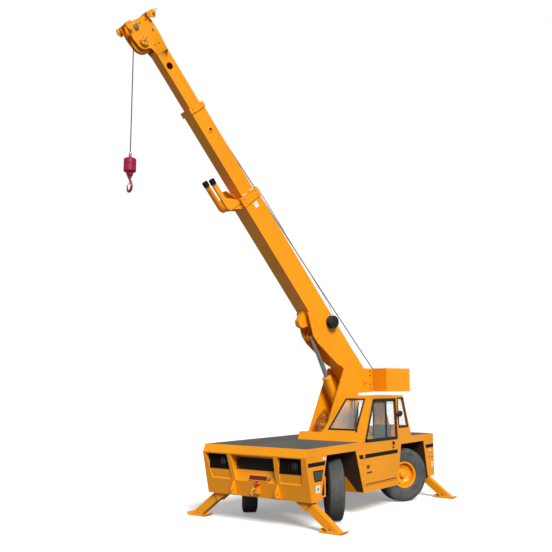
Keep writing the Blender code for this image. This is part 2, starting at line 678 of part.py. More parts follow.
# ---- Axles and wheels ----
def make_axle(carrier, name, x):
    z = TYRE_RADIUS
    reach = KINGPIN_Y - 0.08
    axle = rod((x, -reach, z), (x, reach, z), AXLE_RADIUS, carrier)
    fuse(axle, rod((x, -0.13, z), (x, 0.13, z), 0.15, carrier, 20))
    for side in (-1, 1):
        pad_y = side * (RAIL_IN + RAIL_OUT) / 2
        fuse(axle, box((x - 0.05, pad_y - 0.045, z), (x + 0.05, pad_y + 0.045, RAIL_LOW - GAP), carrier))
        low, high = sorted((side * (reach - 0.03), side * (reach + 0.015)))
        fuse(axle, box((x - 0.05, low, z - 0.09), (x + 0.05, high, z + 0.09), carrier))
        for foot in (-0.09, 0.066):
            low, high = sorted((side * reach, side * (KINGPIN_Y + 0.03)))
            fuse(axle, box((x - 0.045, low, z + foot), (x + 0.045, high, z + foot + 0.024), carrier))
    finish(axle, name, "dark_steel")


def make_knuckle(frame, name, side):
    """In the kingpin's frame; side is +1 on the left."""
    knuckle = rod((0, 0, -0.0655), (0, 0, 0.0655), 0.042, frame, 20)
    fuse(knuckle, rod((0, 0, 0), (0, side * (WHEEL_OFFSET - GAP), 0), 0.036, frame, 20))
    fuse(knuckle, rod((0, side * 0.055, 0), (0, side * 0.075, 0), 0.13, frame, 24))
    finish(knuckle, name, "dark_steel")


def make_wheel(frame, place, side):
    axis = (0, side, 0)
    seat = RIM_RADIUS - FLANGE_HIGH
    barrel = seat - 0.014
    lip = RIM_HALF - FLANGE_WIDE
    rim = turned([(0, 0.078), (0.050, 0.078), (0.060, 0.066), (0.062, 0.028), (0.105, 0.022),
                  (0.150, 0.045),
                  (barrel - 0.003, 0.030), (barrel, RIM_HALF), (RIM_RADIUS, RIM_HALF), (RIM_RADIUS, lip),
                  (seat, lip), (seat, -lip), (RIM_RADIUS, -lip), (RIM_RADIUS, -RIM_HALF),
                  (barrel, -RIM_HALF),
                  (barrel - 0.003, 0.014), (0.150, 0.028), (0.105, 0.003), (0, 0.0)], frame, axis=axis,
                  steps=36)
    finish(rim, "rim_" + place, "paint")
    bead, notch = seat + GAP, lip - GAP
    tread = TYRE_RADIUS
    upper = [(bead, notch), (RIM_RADIUS + GAP, notch), (RIM_RADIUS + GAP, RIM_HALF),
             (0.262, TYRE_HALF - 0.008),
             (0.33, TYRE_HALF), (tread - 0.05, TYRE_HALF - 0.008), (tread - 0.015, TYRE_HALF - 0.022),
             (tread, TYRE_HALF - 0.055)]
    tyre = turned(upper + [(r, -h) for r, h in reversed(upper)], frame, axis=axis, steps=36, ring=True)
    finish(tyre, "tyre_" + place, "rubber")


def make_running_gear(carrier):
    for end, x, steer in (("front", FRONT_AXLE_X, FRONT_STEER), ("rear", REAR_AXLE_X, REAR_STEER)):
        make_axle(carrier, end + "_axle", x)
        for hand, side in (("left", 1), ("right", -1)):
            place = end + "_" + hand
            kingpin = frame_at("kingpin_" + place, (x, side * KINGPIN_Y, TYRE_RADIUS), carrier, steer)
            make_knuckle(kingpin, "knuckle_" + place, side)
            hub = frame_at("hub_" + place, (0, side * WHEEL_OFFSET, 0), kingpin)
            make_wheel(hub, place, side)


# ---- Outriggers ----
def slope_box(low, high, side, x, parent):
    """A box set along a leg: (from, to) along its slope from the crossing, across it, along the carrier."""
    bm = bmesh.new()
    bmesh.ops.create_cube(bm, size=1.0)
    low, high = Vector(low), Vector(high)
    bmesh.ops.scale(bm, vec=high - low, verts=bm.verts)
    bmesh.ops.translate(bm, vec=(high + low) / 2, verts=bm.verts)
    slope = math.radians(LEG_SLOPE)
    along = Vector((0, side * math.cos(slope), -math.sin(slope)))
    across = Vector((0, side * math.sin(slope), math.cos(slope)))
    turn = Matrix((along, across, Vector((1, 0, 0)))).transposed()
    bmesh.ops.rotate(bm, cent=(0, 0, 0), matrix=turn, verts=bm.verts)
    bmesh.ops.translate(bm, vec=(x, side * LEG_Y, LEG_Z), verts=bm.verts)
    return mesh_object("slope_box", bm, parent)


def leg_length():
    """From the crossing down the slope to just above the foot plate."""
    return (LEG_Z - FOOT_THICK - 0.02) / math.sin(math.radians(LEG_SLOPE))


def make_leg(frame, x, side, name):
    deep, wide = LEG_DEEP / 2, LEG_WIDE / 2
    slope = math.radians(LEG_SLOPE)
    leg = slope_box((-LEG_INSIDE, -deep, -wide), (leg_length() + 0.15, deep, wide), side, x, frame)
    foot_y = side * (LEG_Y + leg_length() * math.cos(slope))
    under = box((x - 0.5, -3, -1), (x + 0.5, 3, FOOT_THICK * 0.6), frame)
    cut(leg, under)
    half = FOOT_LONG / 2
    sole = [(-half, 0.03), (-half + 0.05, 0), (half - 0.05, 0), (half, 0.03), (half, 0.03 + FOOT_THICK),
            (half - 0.055, FOOT_THICK), (-half + 0.055, FOOT_THICK), (-half, 0.03 + FOOT_THICK)]
    sole = [(foot_y + y, z) for y, z in sole]
    fuse(leg, plate(sole, x - wide - 0.035, x + wide + 0.035, FRONT, frame))
    finish(leg, name, "paint")


def make_housings(carrier, name, x, bracket):
    """Both sides' leg housings, joined by the beam between them."""
    deep, wide = LEG_DEEP / 2 + RUNNING, LEG_WIDE / 2 + RUNNING
    wall = HOUSING_WALL
    beam_z = LEG_Z + (HOUSING_LENGTH - HOUSING_OUT) * math.sin(math.radians(LEG_SLOPE))
    beam_y = LEG_Y - (HOUSING_LENGTH - HOUSING_OUT) * math.cos(math.radians(LEG_SLOPE)) + 0.06
    low_x, high_x = sorted((x + bracket[0], x + bracket[1]))
    frame = box((low_x, -beam_y, beam_z - 0.10), (high_x, beam_y, beam_z + 0.02), carrier)
    for side in (-1, 1):
        upper = HOUSING_OUT - HOUSING_LENGTH
        outer = slope_box((upper, -deep - wall, -wide - wall), (HOUSING_OUT, deep + wall, wide + wall),
                          side, x, carrier)
        fuse(frame, outer)
    seat = LEG_DEEP / 2 + GAP
    for side in (-1, 1):
        cut(frame, slope_box((-0.9, -seat, -wide), (0.6, deep, wide), side, x, carrier))
    finish(frame, name, "dark_steel")


def make_outriggers(carrier):
    outer = LEG_WIDE / 2 + RUNNING + HOUSING_WALL
    make_housings(carrier, "front_outrigger_housing", LEG_FRONT_X, (-outer - 0.05, -outer + 0.01))
    make_housings(carrier, "rear_outrigger_housing", LEG_REAR_X,
                  (REAR_X + SHEET + GAP - LEG_REAR_X, -outer + 0.01))
    for end, x in (("front", LEG_FRONT_X), ("rear", LEG_REAR_X)):
        for hand, side in (("left", 1), ("right", -1)):
            slide = frame_at("slide_" + end + "_" + hand, (0, 0, 0), carrier)
            make_leg(slide, x, side, "outrigger_" + end + "_" + hand)


# ---- Turret ----
def make_turret(turret):
    foot = RING_TOP + GAP
    outline = [(0.42, foot), (0.42, 1.275), (0.372, 1.31), (-0.10, MAST_TOP), (MAST_OVERHANG, MAST_TOP),
               (MAST_OVERHANG, MAST_OVERHANG_Z), (MAST_REAR, MAST_OVERHANG_Z - 0.02), (MAST_REAR, foot)]
    mast = rod((0, 0, foot), (0, 0, foot + 0.03), RING_RADIUS + 0.025, turret, 48)
    for low, high in ((-MAST_HALF, -MAST_HALF + MAST_PLATE), (MAST_HALF - MAST_PLATE, MAST_HALF)):
        fuse(mast, plate(outline, low, high, SIDE, turret))
    inner = MAST_HALF - MAST_PLATE / 2
    fuse(mast, box((MAST_REAR, -inner, foot + 0.01), (MAST_REAR + 0.025, inner, 1.90), turret))
    fuse(mast, box((MAST_OVERHANG, -inner, MAST_OVERHANG_Z), (MAST_OVERHANG + 0.012, inner, 2.06), turret))
    fuse(mast, rod((PIVOT_A, -MAST_HALF - 0.02, PIVOT_Z), (PIVOT_A, MAST_HALF + 0.02, PIVOT_Z),
                   PIVOT_PIN_R, turret))
    for side in (-1, 1):
        low, high = sorted((side * 0.062, side * 0.087))
        fuse(mast, plate([(LIFT_BASE_A - 0.09, foot + 0.02), (LIFT_BASE_A + 0.09, foot + 0.02),
                          *arc((LIFT_BASE_A, LIFT_BASE_Z), 0.06, 0, 180, 6)], low, high, SIDE, turret))
    fuse(mast, rod((LIFT_BASE_A, -0.10, LIFT_BASE_Z), (LIFT_BASE_A, 0.10, LIFT_BASE_Z), 0.028, turret, 16))
    finish(mast, "mast", "paint")

    front = MAST_OVERHANG - GAP
    house = box((HOUSE_REAR, -HOUSE_HALF, HOUSE_LOW), (front, HOUSE_HALF, MAST_TOP), turret)
    cut(house, box((HOUSE_REAR + HOUSE_WALL, -HOUSE_HALF + HOUSE_WALL, HOUSE_LOW + 0.04),
                   (front - HOUSE_WALL, HOUSE_HALF - HOUSE_WALL, MAST_TOP + 0.2), turret))
    for side in (-1, 1):
        low, high = sorted((side * (DRUM_HALF + 0.03), side * (DRUM_HALF + 0.055)))
        stand = [(DRUM_A - 0.12, HOUSE_LOW + 0.03), (DRUM_A + 0.12, HOUSE_LOW + 0.03),
                 *arc((DRUM_A, DRUM_Z), 0.06, 0, 180, 6)]
        fuse(house, plate(stand, low, high, SIDE, turret))
    finish(house, "winch_housing", "paint")
    shaft, flange = DRUM_HALF + 0.03 - GAP, DRUM_HALF
    drum = turned([(0, shaft), (0.035, shaft), (0.035, flange), (DRUM_FLANGE, flange),
                   (DRUM_FLANGE, flange - 0.015),
                   (DRUM_RADIUS, flange - 0.015), (DRUM_RADIUS, -flange + 0.015),
                   (DRUM_FLANGE, -flange + 0.015),
                   (DRUM_FLANGE, -flange), (0.035, -flange), (0.035, -shaft), (0, -shaft)],
                  turret, (DRUM_A, 0, DRUM_Z), (0, 1, 0), 28)
    finish(drum, "winch_drum", "dark_steel")


def make_slew_ring(carrier):
    ring = rod((0, 0, DECK_TOP + GAP), (0, 0, RING_TOP), RING_RADIUS, carrier, 48)
    finish(ring, "slew_ring", "dark_steel")


# ---- Boom ----
def section(tail, end, half, low, high, wall, parent):
    """A hollow box section, open at both ends."""
    tube = box((tail, -half, low), (end, half, high), parent)
    return cut(tube, box((tail - 1, -half + wall, low + wall), (end + 1, half - wall, high - wall), parent))


def collar(start, end, half, low, high, grow, wall, parent):
    band = box((start, -half - grow, low - grow), (end, half + grow, high + grow), parent)
    return cut(band, box((start - 1, -half + wall / 2, low + wall / 2),
                         (end + 1, half - wall / 2, high - wall / 2), parent))


def make_boom_base(boom):
    base = section(0.12, BASE_END, BASE_HALF, BASE_LOW, BASE_HIGH, BASE_WALL, boom)
    inner = BASE_HALF - BASE_WALL
    doubler = 0.004
    for side in (-1, 1):
        low, high = sorted((side * (inner - doubler), side * (BASE_HALF + doubler)))
        boss = [(0.5, BASE_LOW - doubler), (0.5, BASE_HIGH + doubler), (0.02, BASE_HIGH + doubler),
                *arc((0, 0), 0.155, 95, 265, 10), (0.10, BASE_LOW - doubler)]
        fuse(base, plate(boss, low, high, SIDE, boom, holes=[circle((0, 0), PIVOT_PIN_R + 0.0008, 24)]))
        low, high = sorted((side * (BASE_HALF - 0.022), side * (BASE_HALF - 0.002)))
        skirt = [(0.50, BASE_LOW + 0.005), (1.75, BASE_LOW + 0.005), (1.75, -0.27), (1.36, -0.43),
                 (1.20, -0.43),
                 (0.62, -0.30)]
        fuse(base, plate(skirt, low, high, SIDE, boom))
        low, high = sorted((side * EAR_IN, side * (EAR_IN + EAR_THICK)))
        ear = [(LIFT_EYE_U - 0.16, BASE_LOW + 0.005), (LIFT_EYE_U + 0.16, BASE_LOW + 0.005),
               *arc((LIFT_EYE_U, LIFT_EYE_V), 0.07, 0, -180, 8)]
        fuse(base, plate(ear, low, high, SIDE, boom))
        low, high = sorted((side * (EAR_IN + EAR_THICK - 0.005), side * (BASE_HALF - 0.01)))
        fuse(base, rod((LIFT_EYE_U, low, LIFT_EYE_V), (LIFT_EYE_U, high, LIFT_EYE_V), 0.035, boom, 16))
    stop = [(1.47, BASE_LOW + 0.005), (1.79, BASE_LOW + 0.005), (1.72, -0.46), (1.64, -0.50), (1.56, -0.46)]
    fuse(base, plate(stop, -0.05, 0.05, SIDE, boom))
    fuse(base, collar(BASE_END - COLLAR_LONG, BASE_END, BASE_HALF, BASE_LOW, BASE_HIGH, COLLAR_GROW,
                      BASE_WALL, boom))
    fuse(base, box((BASE_END - 0.11, -0.09, BASE_LOW + BASE_WALL - 0.003),
                   (BASE_END - 0.01, 0.09, MID_LOW - GAP), boom))
    for side in (-1, 1):
        arm = [(4.03, BASE_LOW), (4.03, -0.50), (4.10, -0.55), (4.56, -0.55), (4.56, -0.47), (4.16, -0.46),
               (4.09, -0.38), (4.09, BASE_LOW)]
        fuse(base, plate(arm, side * 0.10 - 0.02, side * 0.10 + 0.02, SIDE, boom))
        fuse(base, rod((4.55, side * 0.10, -0.51), (4.64, side * 0.10, -0.51), 0.045, boom, 16))
    fuse(base, box((4.05, -0.11, -0.52), (4.08, 0.11, -0.40), boom))
    finish(base, "boom_base", "paint")
    reel = turned([(0, 0.115), (0.045, 0.115), (0.045, 0.10), (0.11, 0.10), (0.11, 0.085), (0.085, 0.08),
                   (0.085, 0.03),
                   (0.11, 0.025), (0.11, 0.01), (0.04, 0.01), (0.04, GAP), (0, GAP)],
                  boom, (1.30, BASE_HALF, 0.05), (0, 1, 0), 28)
    finish(reel, "hose_reel", "trim")


def make_boom_mid(mid):
    tube = section(MID_TAIL, MID_END, MID_HALF, MID_LOW, MID_HIGH, MID_WALL, mid)
    fuse(tube, collar(MID_END - MID_COLLAR_LONG, MID_END + 0.012, MID_HALF, MID_LOW, MID_HIGH, 0.018,
                      MID_WALL, mid))
    fuse(tube, box((MID_END - 0.07, -0.06, MID_LOW + MID_WALL - 0.003),
                   (MID_END - 0.01, 0.06, TIP_LOW - GAP), mid),
         box((MID_TAIL + 0.02, -0.08, MID_HIGH - 0.003),
             (MID_TAIL + 0.12, 0.08, BASE_HIGH - BASE_WALL - GAP), mid))
    cut(tube, rod((5.31, 0.05, 0), (5.31, 0.3, 0), 0.03, mid, 16))
    finish(tube, "boom_mid", "paint")


def make_boom_tip(tip):
    tube = section(TIP_TAIL, TIP_END, TIP_HALF, TIP_LOW, TIP_HIGH, TIP_WALL, tip)
    for side in (-1, 1):
        low, high = sorted((side * (TIP_HALF - TIP_WALL), side * (TIP_HALF + CHEEK - TIP_WALL)))
        cheek = [(6.74, TIP_LOW + 0.002), (6.74, TIP_HIGH - 0.002), (7.00, TIP_HIGH + 0.02),
                 (7.20, TIP_HIGH + 0.02), (HEAD_END - 0.02, 0.12), (HEAD_END - 0.02, -0.36), (7.10, -0.36),
                 *arc((SHEAVE_U, SHEAVE_V), 0.13, -100, -190, 6), (6.86, TIP_LOW - 0.03)]
        fuse(tube, plate(cheek, low, high, SIDE, tip))
        low, high = sorted((side * (TIP_HALF + 0.001), side * 0.135))
        disc = rod((SHEAVE_U, low, SHEAVE_V), (SHEAVE_U, high, SHEAVE_V), 0.075, tip, 24)
        fuse(tube, disc)
        ear = [(HEAD_END - 0.10, 0.10), (HEAD_END, 0.10), (HEAD_END, 0.22), (HEAD_END - 0.06, 0.235),
               (HEAD_END - 0.13, 0.19)]
        fuse(tube, plate(ear, side * 0.15 - 0.012, side * 0.15 + 0.012, SIDE, tip))
        fuse(tube, rod((HEAD_END - 0.06, side * 0.12, 0.19), (HEAD_END - 0.06, side * 0.20, 0.19), 0.022,
                       tip, 12))
        low_ear = [(HEAD_END - 0.10, -0.28), (HEAD_END, -0.28), (HEAD_END, -0.38), (HEAD_END - 0.07, -0.40),
                   (HEAD_END - 0.14, -0.36)]
        fuse(tube, plate(low_ear, side * 0.15 - 0.012, side * 0.15 + 0.012, SIDE, tip))
    cross = box((HEAD_END - 0.035, -0.165, 0.07), (HEAD_END, 0.165, 0.13), tip)
    fuse(tube, cross, box((HEAD_END - 0.035, -0.165, -0.33), (HEAD_END, 0.165, -0.27), tip))
    fuse(tube, box((TIP_TAIL + 0.02, -0.06, TIP_HIGH - 0.003),
                   (TIP_TAIL + 0.10, 0.06, MID_HIGH - MID_WALL - GAP), tip))
    cut(tube, rod((6.50, 0.05, -0.02), (6.50, 0.3, -0.02), 0.05, tip, 20))
    finish(tube, "boom_tip", "paint")
    width = TIP_HALF - TIP_WALL - GAP
    lip = SHEAVE_HALF
    sheave = turned([(0, width), (0.04, width), (0.04, lip), (SHEAVE_RADIUS - 0.004, lip),
                     (SHEAVE_RADIUS, lip - 0.006),
                     (SHEAVE_GROOVE, 0.011), (SHEAVE_GROOVE, -0.011), (SHEAVE_RADIUS, -lip + 0.006),
                     (SHEAVE_RADIUS - 0.004, -lip), (0.04, -lip), (0.04, -width), (0, -width)],
                    tip, (SHEAVE_U, 0, SHEAVE_V), (0, 1, 0), 36)
    finish(sheave, "main_sheave", "paint")
    idler = turned([(0, width), (0.022, width), (0.022, 0.03), (IDLER_RADIUS, 0.03),
                    (IDLER_RADIUS - 0.014, 0.012),
                    (IDLER_RADIUS - 0.014, -0.012), (IDLER_RADIUS, -0.03), (0.022, -0.03), (0.022, -width),
                    (0, -width)],
                   tip, (IDLER_U, 0, IDLER_V), (0, 1, 0), 24)
    finish(idler, "head_idler", "dark_steel")


def make_lift_cylinder(barrel_frame, rod_frame, length):
    """Both lie along +X from the lower pin; length is the distance between the pin and the eye."""
    barrel = rod((0.075, 0, 0), (BARREL_LONG, 0, 0), BARREL_RADIUS, barrel_frame, 28)
    eye = plate([*arc((0, 0), 0.055, 90, 270, 8), (0.10, -0.055), (0.10, 0.055)], -0.055, 0.055, SIDE,
                barrel_frame,
                holes=[circle((0, 0), 0.029, 16)])
    fuse(barrel, eye)
    cut(barrel, rod((0.16, 0, 0), (BARREL_LONG + 0.1, 0, 0), ROD_RADIUS + 0.0005, barrel_frame, 24))
    finish(barrel, "lift_barrel", "paint")
    tail = 0.20 + length - LIFT_CLOSED
    piston = rod((tail, 0, 0), (length - 0.03, 0, 0), ROD_RADIUS, rod_frame, 24)
    fuse(piston, rod((length, -0.045, 0), (length, 0.045, 0), 0.045, rod_frame, 20))
    finish(piston, "lift_rod", "bare_steel")


# ---- Hoist ----
def make_hoist(plumb, drop):
    """In the plumb frame: origin on the sheave's axis, +Z up."""
    x = SHEAVE_GROOVE + ROPE_RADIUS + GAP
    finish(rod((x, 0, -drop), (x, 0, 0), ROPE_RADIUS, plumb, 12), "hoist_rope", "dark_steel")
    top = -drop - GAP
    body = turned([(0, top), (0.03, top), (0.045, top - 0.02), (BLOCK_RADIUS, top - 0.03),
                   (BLOCK_RADIUS, top - BLOCK_HIGH),
                   (0.05, top - BLOCK_HIGH - 0.03), (0.05, top - BLOCK_HIGH - 0.06),
                   (0, top - BLOCK_HIGH - 0.06)],
                  plumb, (x, 0, 0), (0, 0, 1), 28)
    finish(body, "hook_block", "hook_red")


def make_hook(frame, top, bottom):
    """In the hook's own frame, on its swivel axis."""
    radius = 0.07
    centre = bottom + radius + 0.02
    bend = [(0.0 + y, z) for y, z in arc((0, centre), radius, 55, -215, 18)]
    points = [(0, 0, top - GAP), (0, 0, centre + 0.13), (0, 0.035, centre + 0.085)] + [(0, y, z) for y,
                                                                                       z in bend[1:]]
    finish(pipe(points, 0.02, frame, 3), "hook", "hook_red")


# ---- The crane ----
def place_on_origin(carrier):
    """Moves the crane so that the middle of its footprint is at the origin, with its feet at zero."""
    graph = bpy.context.evaluated_depsgraph_get()
    low, high = Vector((1e9,) * 3), Vector((-1e9,) * 3)
    for obj in parts.objects:
        if obj.type != "MESH":
            continue
        shape = obj.evaluated_get(graph)
        for vertex in shape.data.vertices:
            point = shape.matrix_world @ vertex.co
            low = Vector(map(min, low, point))
            high = Vector(map(max, high, point))
    carrier.location = (-(low.x + high.x) / 2, -(low.y + high.y) / 2, -low.z)


clear_scene()
parts = new_collection("carry_deck_crane")
helpers = new_collection("cutters")
helpers.hide_render = True


carrier = frame_at("carrier", (0, 0, 0), None)
make_chassis(carrier)
make_deck(carrier)
make_front(carrier)
make_rear(carrier)
make_side_boxes(carrier)
make_cab(carrier)
make_windows(carrier)
make_cab_inside(carrier)
make_door(frame_at("door_hinge", (*DOOR_HINGE, 0), carrier))
make_running_gear(carrier)
make_outriggers(carrier)
make_slew_ring(carrier)

turret = frame_at("turret", (0, 0, 0), carrier, TURRET_YAW)
make_turret(turret)
boom = frame_at("boom", (PIVOT_A, 0, PIVOT_Z), turret, -BOOM_ANGLE, "Y")
make_boom_base(boom)
mid = frame_at("mid_slide", (0, 0, 0), boom)
make_boom_mid(mid)
tip = frame_at("tip_slide", (0, 0, 0), mid)
make_boom_tip(tip)

elevation = math.radians(BOOM_ANGLE)
eye_a = PIVOT_A + LIFT_EYE_U * math.cos(elevation) - LIFT_EYE_V * math.sin(elevation)
eye_z = PIVOT_Z + LIFT_EYE_U * math.sin(elevation) + LIFT_EYE_V * math.cos(elevation)
lift_length = math.hypot(eye_a - LIFT_BASE_A, eye_z - LIFT_BASE_Z)
lift_angle = math.degrees(math.atan2(eye_z - LIFT_BASE_Z, eye_a - LIFT_BASE_A))
cylinder = frame_at("lift_cylinder", (LIFT_BASE_A, 0, LIFT_BASE_Z), turret, -lift_angle, "Y")
rod_slide = frame_at("rod_slide", (0, 0, 0), cylinder)
make_lift_cylinder(cylinder, rod_slide, lift_length)

plumb = frame_at("plumb_line", (SHEAVE_U, 0, SHEAVE_V), tip, BOOM_ANGLE, "Y")
sheave_z = PIVOT_Z + SHEAVE_U * math.sin(elevation) + SHEAVE_V * math.cos(elevation)
rope_drop = sheave_z - ROPE_END_Z
make_hoist(plumb, rope_drop)
swivel = frame_at("hook_swivel", (SHEAVE_GROOVE + ROPE_RADIUS + GAP, 0, 0), plumb)
make_hook(swivel, -rope_drop - GAP - BLOCK_HIGH - 0.06, HOOK_BOTTOM_Z - sheave_z)

bpy.context.view_layer.update()
place_on_origin(carrier)
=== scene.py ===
import json
import math

import bmesh
import bpy
from mathutils import Matrix, Vector

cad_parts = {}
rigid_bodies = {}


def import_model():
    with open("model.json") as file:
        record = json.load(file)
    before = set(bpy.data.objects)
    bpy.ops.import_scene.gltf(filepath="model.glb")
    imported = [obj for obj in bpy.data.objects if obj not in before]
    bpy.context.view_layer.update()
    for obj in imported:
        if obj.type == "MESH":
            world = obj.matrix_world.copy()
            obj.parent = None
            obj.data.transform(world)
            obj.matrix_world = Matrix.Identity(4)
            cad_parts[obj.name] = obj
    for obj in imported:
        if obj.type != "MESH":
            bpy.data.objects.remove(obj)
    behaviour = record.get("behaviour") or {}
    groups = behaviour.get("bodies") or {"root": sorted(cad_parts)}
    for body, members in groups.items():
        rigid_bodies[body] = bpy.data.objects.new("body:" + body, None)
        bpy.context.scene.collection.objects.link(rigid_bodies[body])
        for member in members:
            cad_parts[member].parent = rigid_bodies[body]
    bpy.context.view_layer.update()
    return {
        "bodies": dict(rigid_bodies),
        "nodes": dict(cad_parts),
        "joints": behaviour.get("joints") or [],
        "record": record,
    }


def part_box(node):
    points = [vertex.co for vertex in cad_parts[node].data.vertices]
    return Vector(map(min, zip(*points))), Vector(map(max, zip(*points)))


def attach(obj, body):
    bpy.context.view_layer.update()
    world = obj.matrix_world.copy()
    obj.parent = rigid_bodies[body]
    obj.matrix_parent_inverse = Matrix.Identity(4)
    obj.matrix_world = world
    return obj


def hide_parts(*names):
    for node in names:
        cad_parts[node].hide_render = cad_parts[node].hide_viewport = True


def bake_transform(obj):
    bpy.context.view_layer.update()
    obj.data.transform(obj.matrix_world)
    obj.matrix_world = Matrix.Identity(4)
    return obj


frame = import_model()
nodes = frame["nodes"]
joints = {joint["name"]: joint for joint in frame["joints"]}
print("frame loaded:", len(nodes), "nodes")


def placeAt(origin, xAxis, yAxis):
    xAxis, yAxis = Vector(xAxis).normalized(), Vector(yAxis).normalized()
    turn = Matrix((xAxis, yAxis, xAxis.cross(yAxis))).transposed().to_4x4()
    return Matrix.Translation(origin) @ turn


up = Vector((0, 0, 1))
slewPos = Vector(joints["slew"]["pos_m"])
leftOfBoom = -Vector(joints["boom_luff"]["axis"])
carrierPlace = Matrix.Translation((slewPos.x, 0, 0))
turretPlace = placeAt(slewPos, leftOfBoom.cross(up), leftOfBoom)
boomPlace = placeAt(joints["boom_luff"]["pos_m"], joints["boom_mid_extend"]["axis"], leftOfBoom)
liftPlace = placeAt(joints["lift_tilt"]["pos_m"], joints["lift_rod_slide"]["axis"], leftOfBoom)
corners = [end + "_" + hand for end in ("front", "rear") for hand in ("left", "right")]


def hubPlace(corner):
    joint = joints["wheel_spin_" + corner]
    side = 1 if corner.endswith("left") else -1
    outward = Vector(joint["axis"]) * side
    return placeAt(joint["pos_m"], outward.cross(up), outward)


camera = {"x": 11.451, "y": 6.918, "z": 2.127, "look": (-0.8052, -0.5746, 0.1467), "lens": 47.41}


def setCamera():
    data = bpy.data.cameras.new("camera")
    data.sensor_width = 36.0
    data.lens = camera["lens"]
    data.clip_end = 200.0
    eye = bpy.data.objects.new("camera", data)
    eye.location = (camera["x"] + slewPos.x, camera["y"], camera["z"])
    eye.rotation_mode = "QUATERNION"
    eye.rotation_quaternion = Vector(camera["look"]).to_track_quat("-Z", "Y")
    bpy.context.scene.collection.objects.link(eye)
    bpy.context.scene.camera = eye


studio = {"sky": 0.24, "backdrop": 1.0, "sun": 4.0, "sunAngle": 26.0, "sunFrom": (0.62, 0.85, 0.85),
          "floor": 0.95, "floorGlow": 0.3, "bounce": 0.26}


def splitByCamera(tree, others, seen, output):
    # one shader for the camera's own rays, another for the light that bounces
    path, either = tree.nodes.new("ShaderNodeLightPath"), tree.nodes.new("ShaderNodeMixShader")
    tree.links.new(path.outputs["Is Camera Ray"], either.inputs[0])
    tree.links.new(others.outputs[0], either.inputs[1])
    tree.links.new(seen.outputs[0], either.inputs[2])
    tree.links.new(either.outputs[0], tree.nodes[output].inputs["Surface"])


def setStudio():
    world = bpy.data.worlds.new("studio")
    world.use_nodes = True
    tree = world.node_tree
    tree.nodes["Background"].inputs["Strength"].default_value = studio["sky"]
    tree.nodes["Background"].inputs["Color"].default_value = (1.0, 1.0, 1.0, 1.0)
    paper = tree.nodes.new("ShaderNodeBackground")
    paper.inputs["Color"].default_value = (1.0, 1.0, 1.0, 1.0)
    paper.inputs["Strength"].default_value = studio["backdrop"]
    splitByCamera(tree, tree.nodes["Background"], paper, "World Output")
    bpy.context.scene.world = world
    sun = bpy.data.lights.new("sun", "SUN")
    sun.energy = studio["sun"]
    sun.angle = math.radians(studio["sunAngle"])
    sun.color = (1.0, 0.96, 0.9)
    lamp = bpy.data.objects.new("sun", sun)
    lamp.rotation_mode = "QUATERNION"
    lamp.rotation_quaternion = Vector(studio["sunFrom"]).to_track_quat("Z", "Y")
    bpy.context.scene.collection.objects.link(lamp)
    view = bpy.context.scene.view_settings
    view.view_transform = "Standard"
    view.look = "None"
    view.exposure = 0.0


setCamera()
setStudio()


class Wire:
    # a socket that can be added, subtracted, scaled and raised to a power in plain expressions

    def __init__(self, finish, socket):
        self.finish, self.socket = finish, socket

    def maths(self, operation, left, right=0.0):
        return self.finish.node("ShaderNodeMath", {"operation": operation}, {0: left, 1: right})

    def __add__(self, other):
        return self.maths("ADD", self, other)

    def __radd__(self, other):
        return self.maths("ADD", other, self)

    def __sub__(self, other):
        return self.maths("SUBTRACT", self, other)

    def __rsub__(self, other):
        return self.maths("SUBTRACT", other, self)

    def __mul__(self, other):
        return self.maths("MULTIPLY", self, other)

    def __rmul__(self, other):
        return self.maths("MULTIPLY", other, self)

    def __pow__(self, other):
        return self.maths("POWER", self, other)


class Finish:
    def __init__(self, name, colour, roughness=0.5, metallic=0.0, coat=0.0, alpha=1.0):
        self.material = bpy.data.materials.new(name)
        self.material.use_nodes = True
        self.tree = self.material.node_tree
        self.shader = self.tree.nodes["Principled BSDF"]
        self.base = colour
        self.set("Base Color", (*colour, 1.0))
        self.set("Roughness", roughness)
        self.set("Metallic", metallic)
        self.set("Coat Weight", coat)
        self.set("Alpha", alpha)
        self.place = self.node("ShaderNodeTexCoord", {}, {}, "Object")

    def set(self, socket, value):
        target = self.shader.inputs[socket]
        if isinstance(value, Wire):
            self.tree.links.new(value.socket, target)
        else:
            target.default_value = value

    def node(self, kind, settings, inputs, out=0):
        made = self.tree.nodes.new(kind)
        for key, value in settings.items():
            if key == "stops":
                ramp = made.color_ramp.elements
                while len(ramp) < len(value):
                    ramp.new(0.5)
                for stop, (spot, shade) in zip(ramp, value):
                    stop.position, stop.color = spot, (shade, shade, shade, 1.0)
            else:
                setattr(made, key, value)
        for key, value in inputs.items():
            if isinstance(value, Wire):
                self.tree.links.new(value.socket, made.inputs[key])
            else:
                made.inputs[key].default_value = value
        return Wire(self, made.outputs[out])

    def noise(self, scale, detail=3.0, roughness=0.5, place=None):
        inputs = {"Vector": place or self.place, "Scale": scale, "Detail": detail, "Roughness": roughness}
        return self.node("ShaderNodeTexNoise", {}, inputs)

    def ramp(self, value, low, high):
        return self.node("ShaderNodeValToRGB", {"stops": ((low, 0.0), (high, 1.0))}, {"Fac": value})

    def mix(self, factor, first, second):
        colours = [c if isinstance(c, Wire) else (*c, 1.0) for c in (first, second)]
        return self.node("ShaderNodeMix", {"data_type": "RGBA"}, {0: factor, 6: colours[0], 7: colours[1]}, 2)

    def height(self, axis="Z"):
        return self.node("ShaderNodeSeparateXYZ", {}, {"Vector": self.place}, axis)

    def bump(self, height, strength, distance):
        inputs = {"Height": height, "Strength": strength, "Distance": distance}
        self.set("Normal", self.node("ShaderNodeBump", {}, inputs, "Normal"))


def shade(colour, by):
    return tuple(min(1.0, c * by) for c in colour)


paintLook = {"colour": (0.90, 0.335, 0.004), "roughness": 0.34, "coat": 0.08, "dust": 0.08}


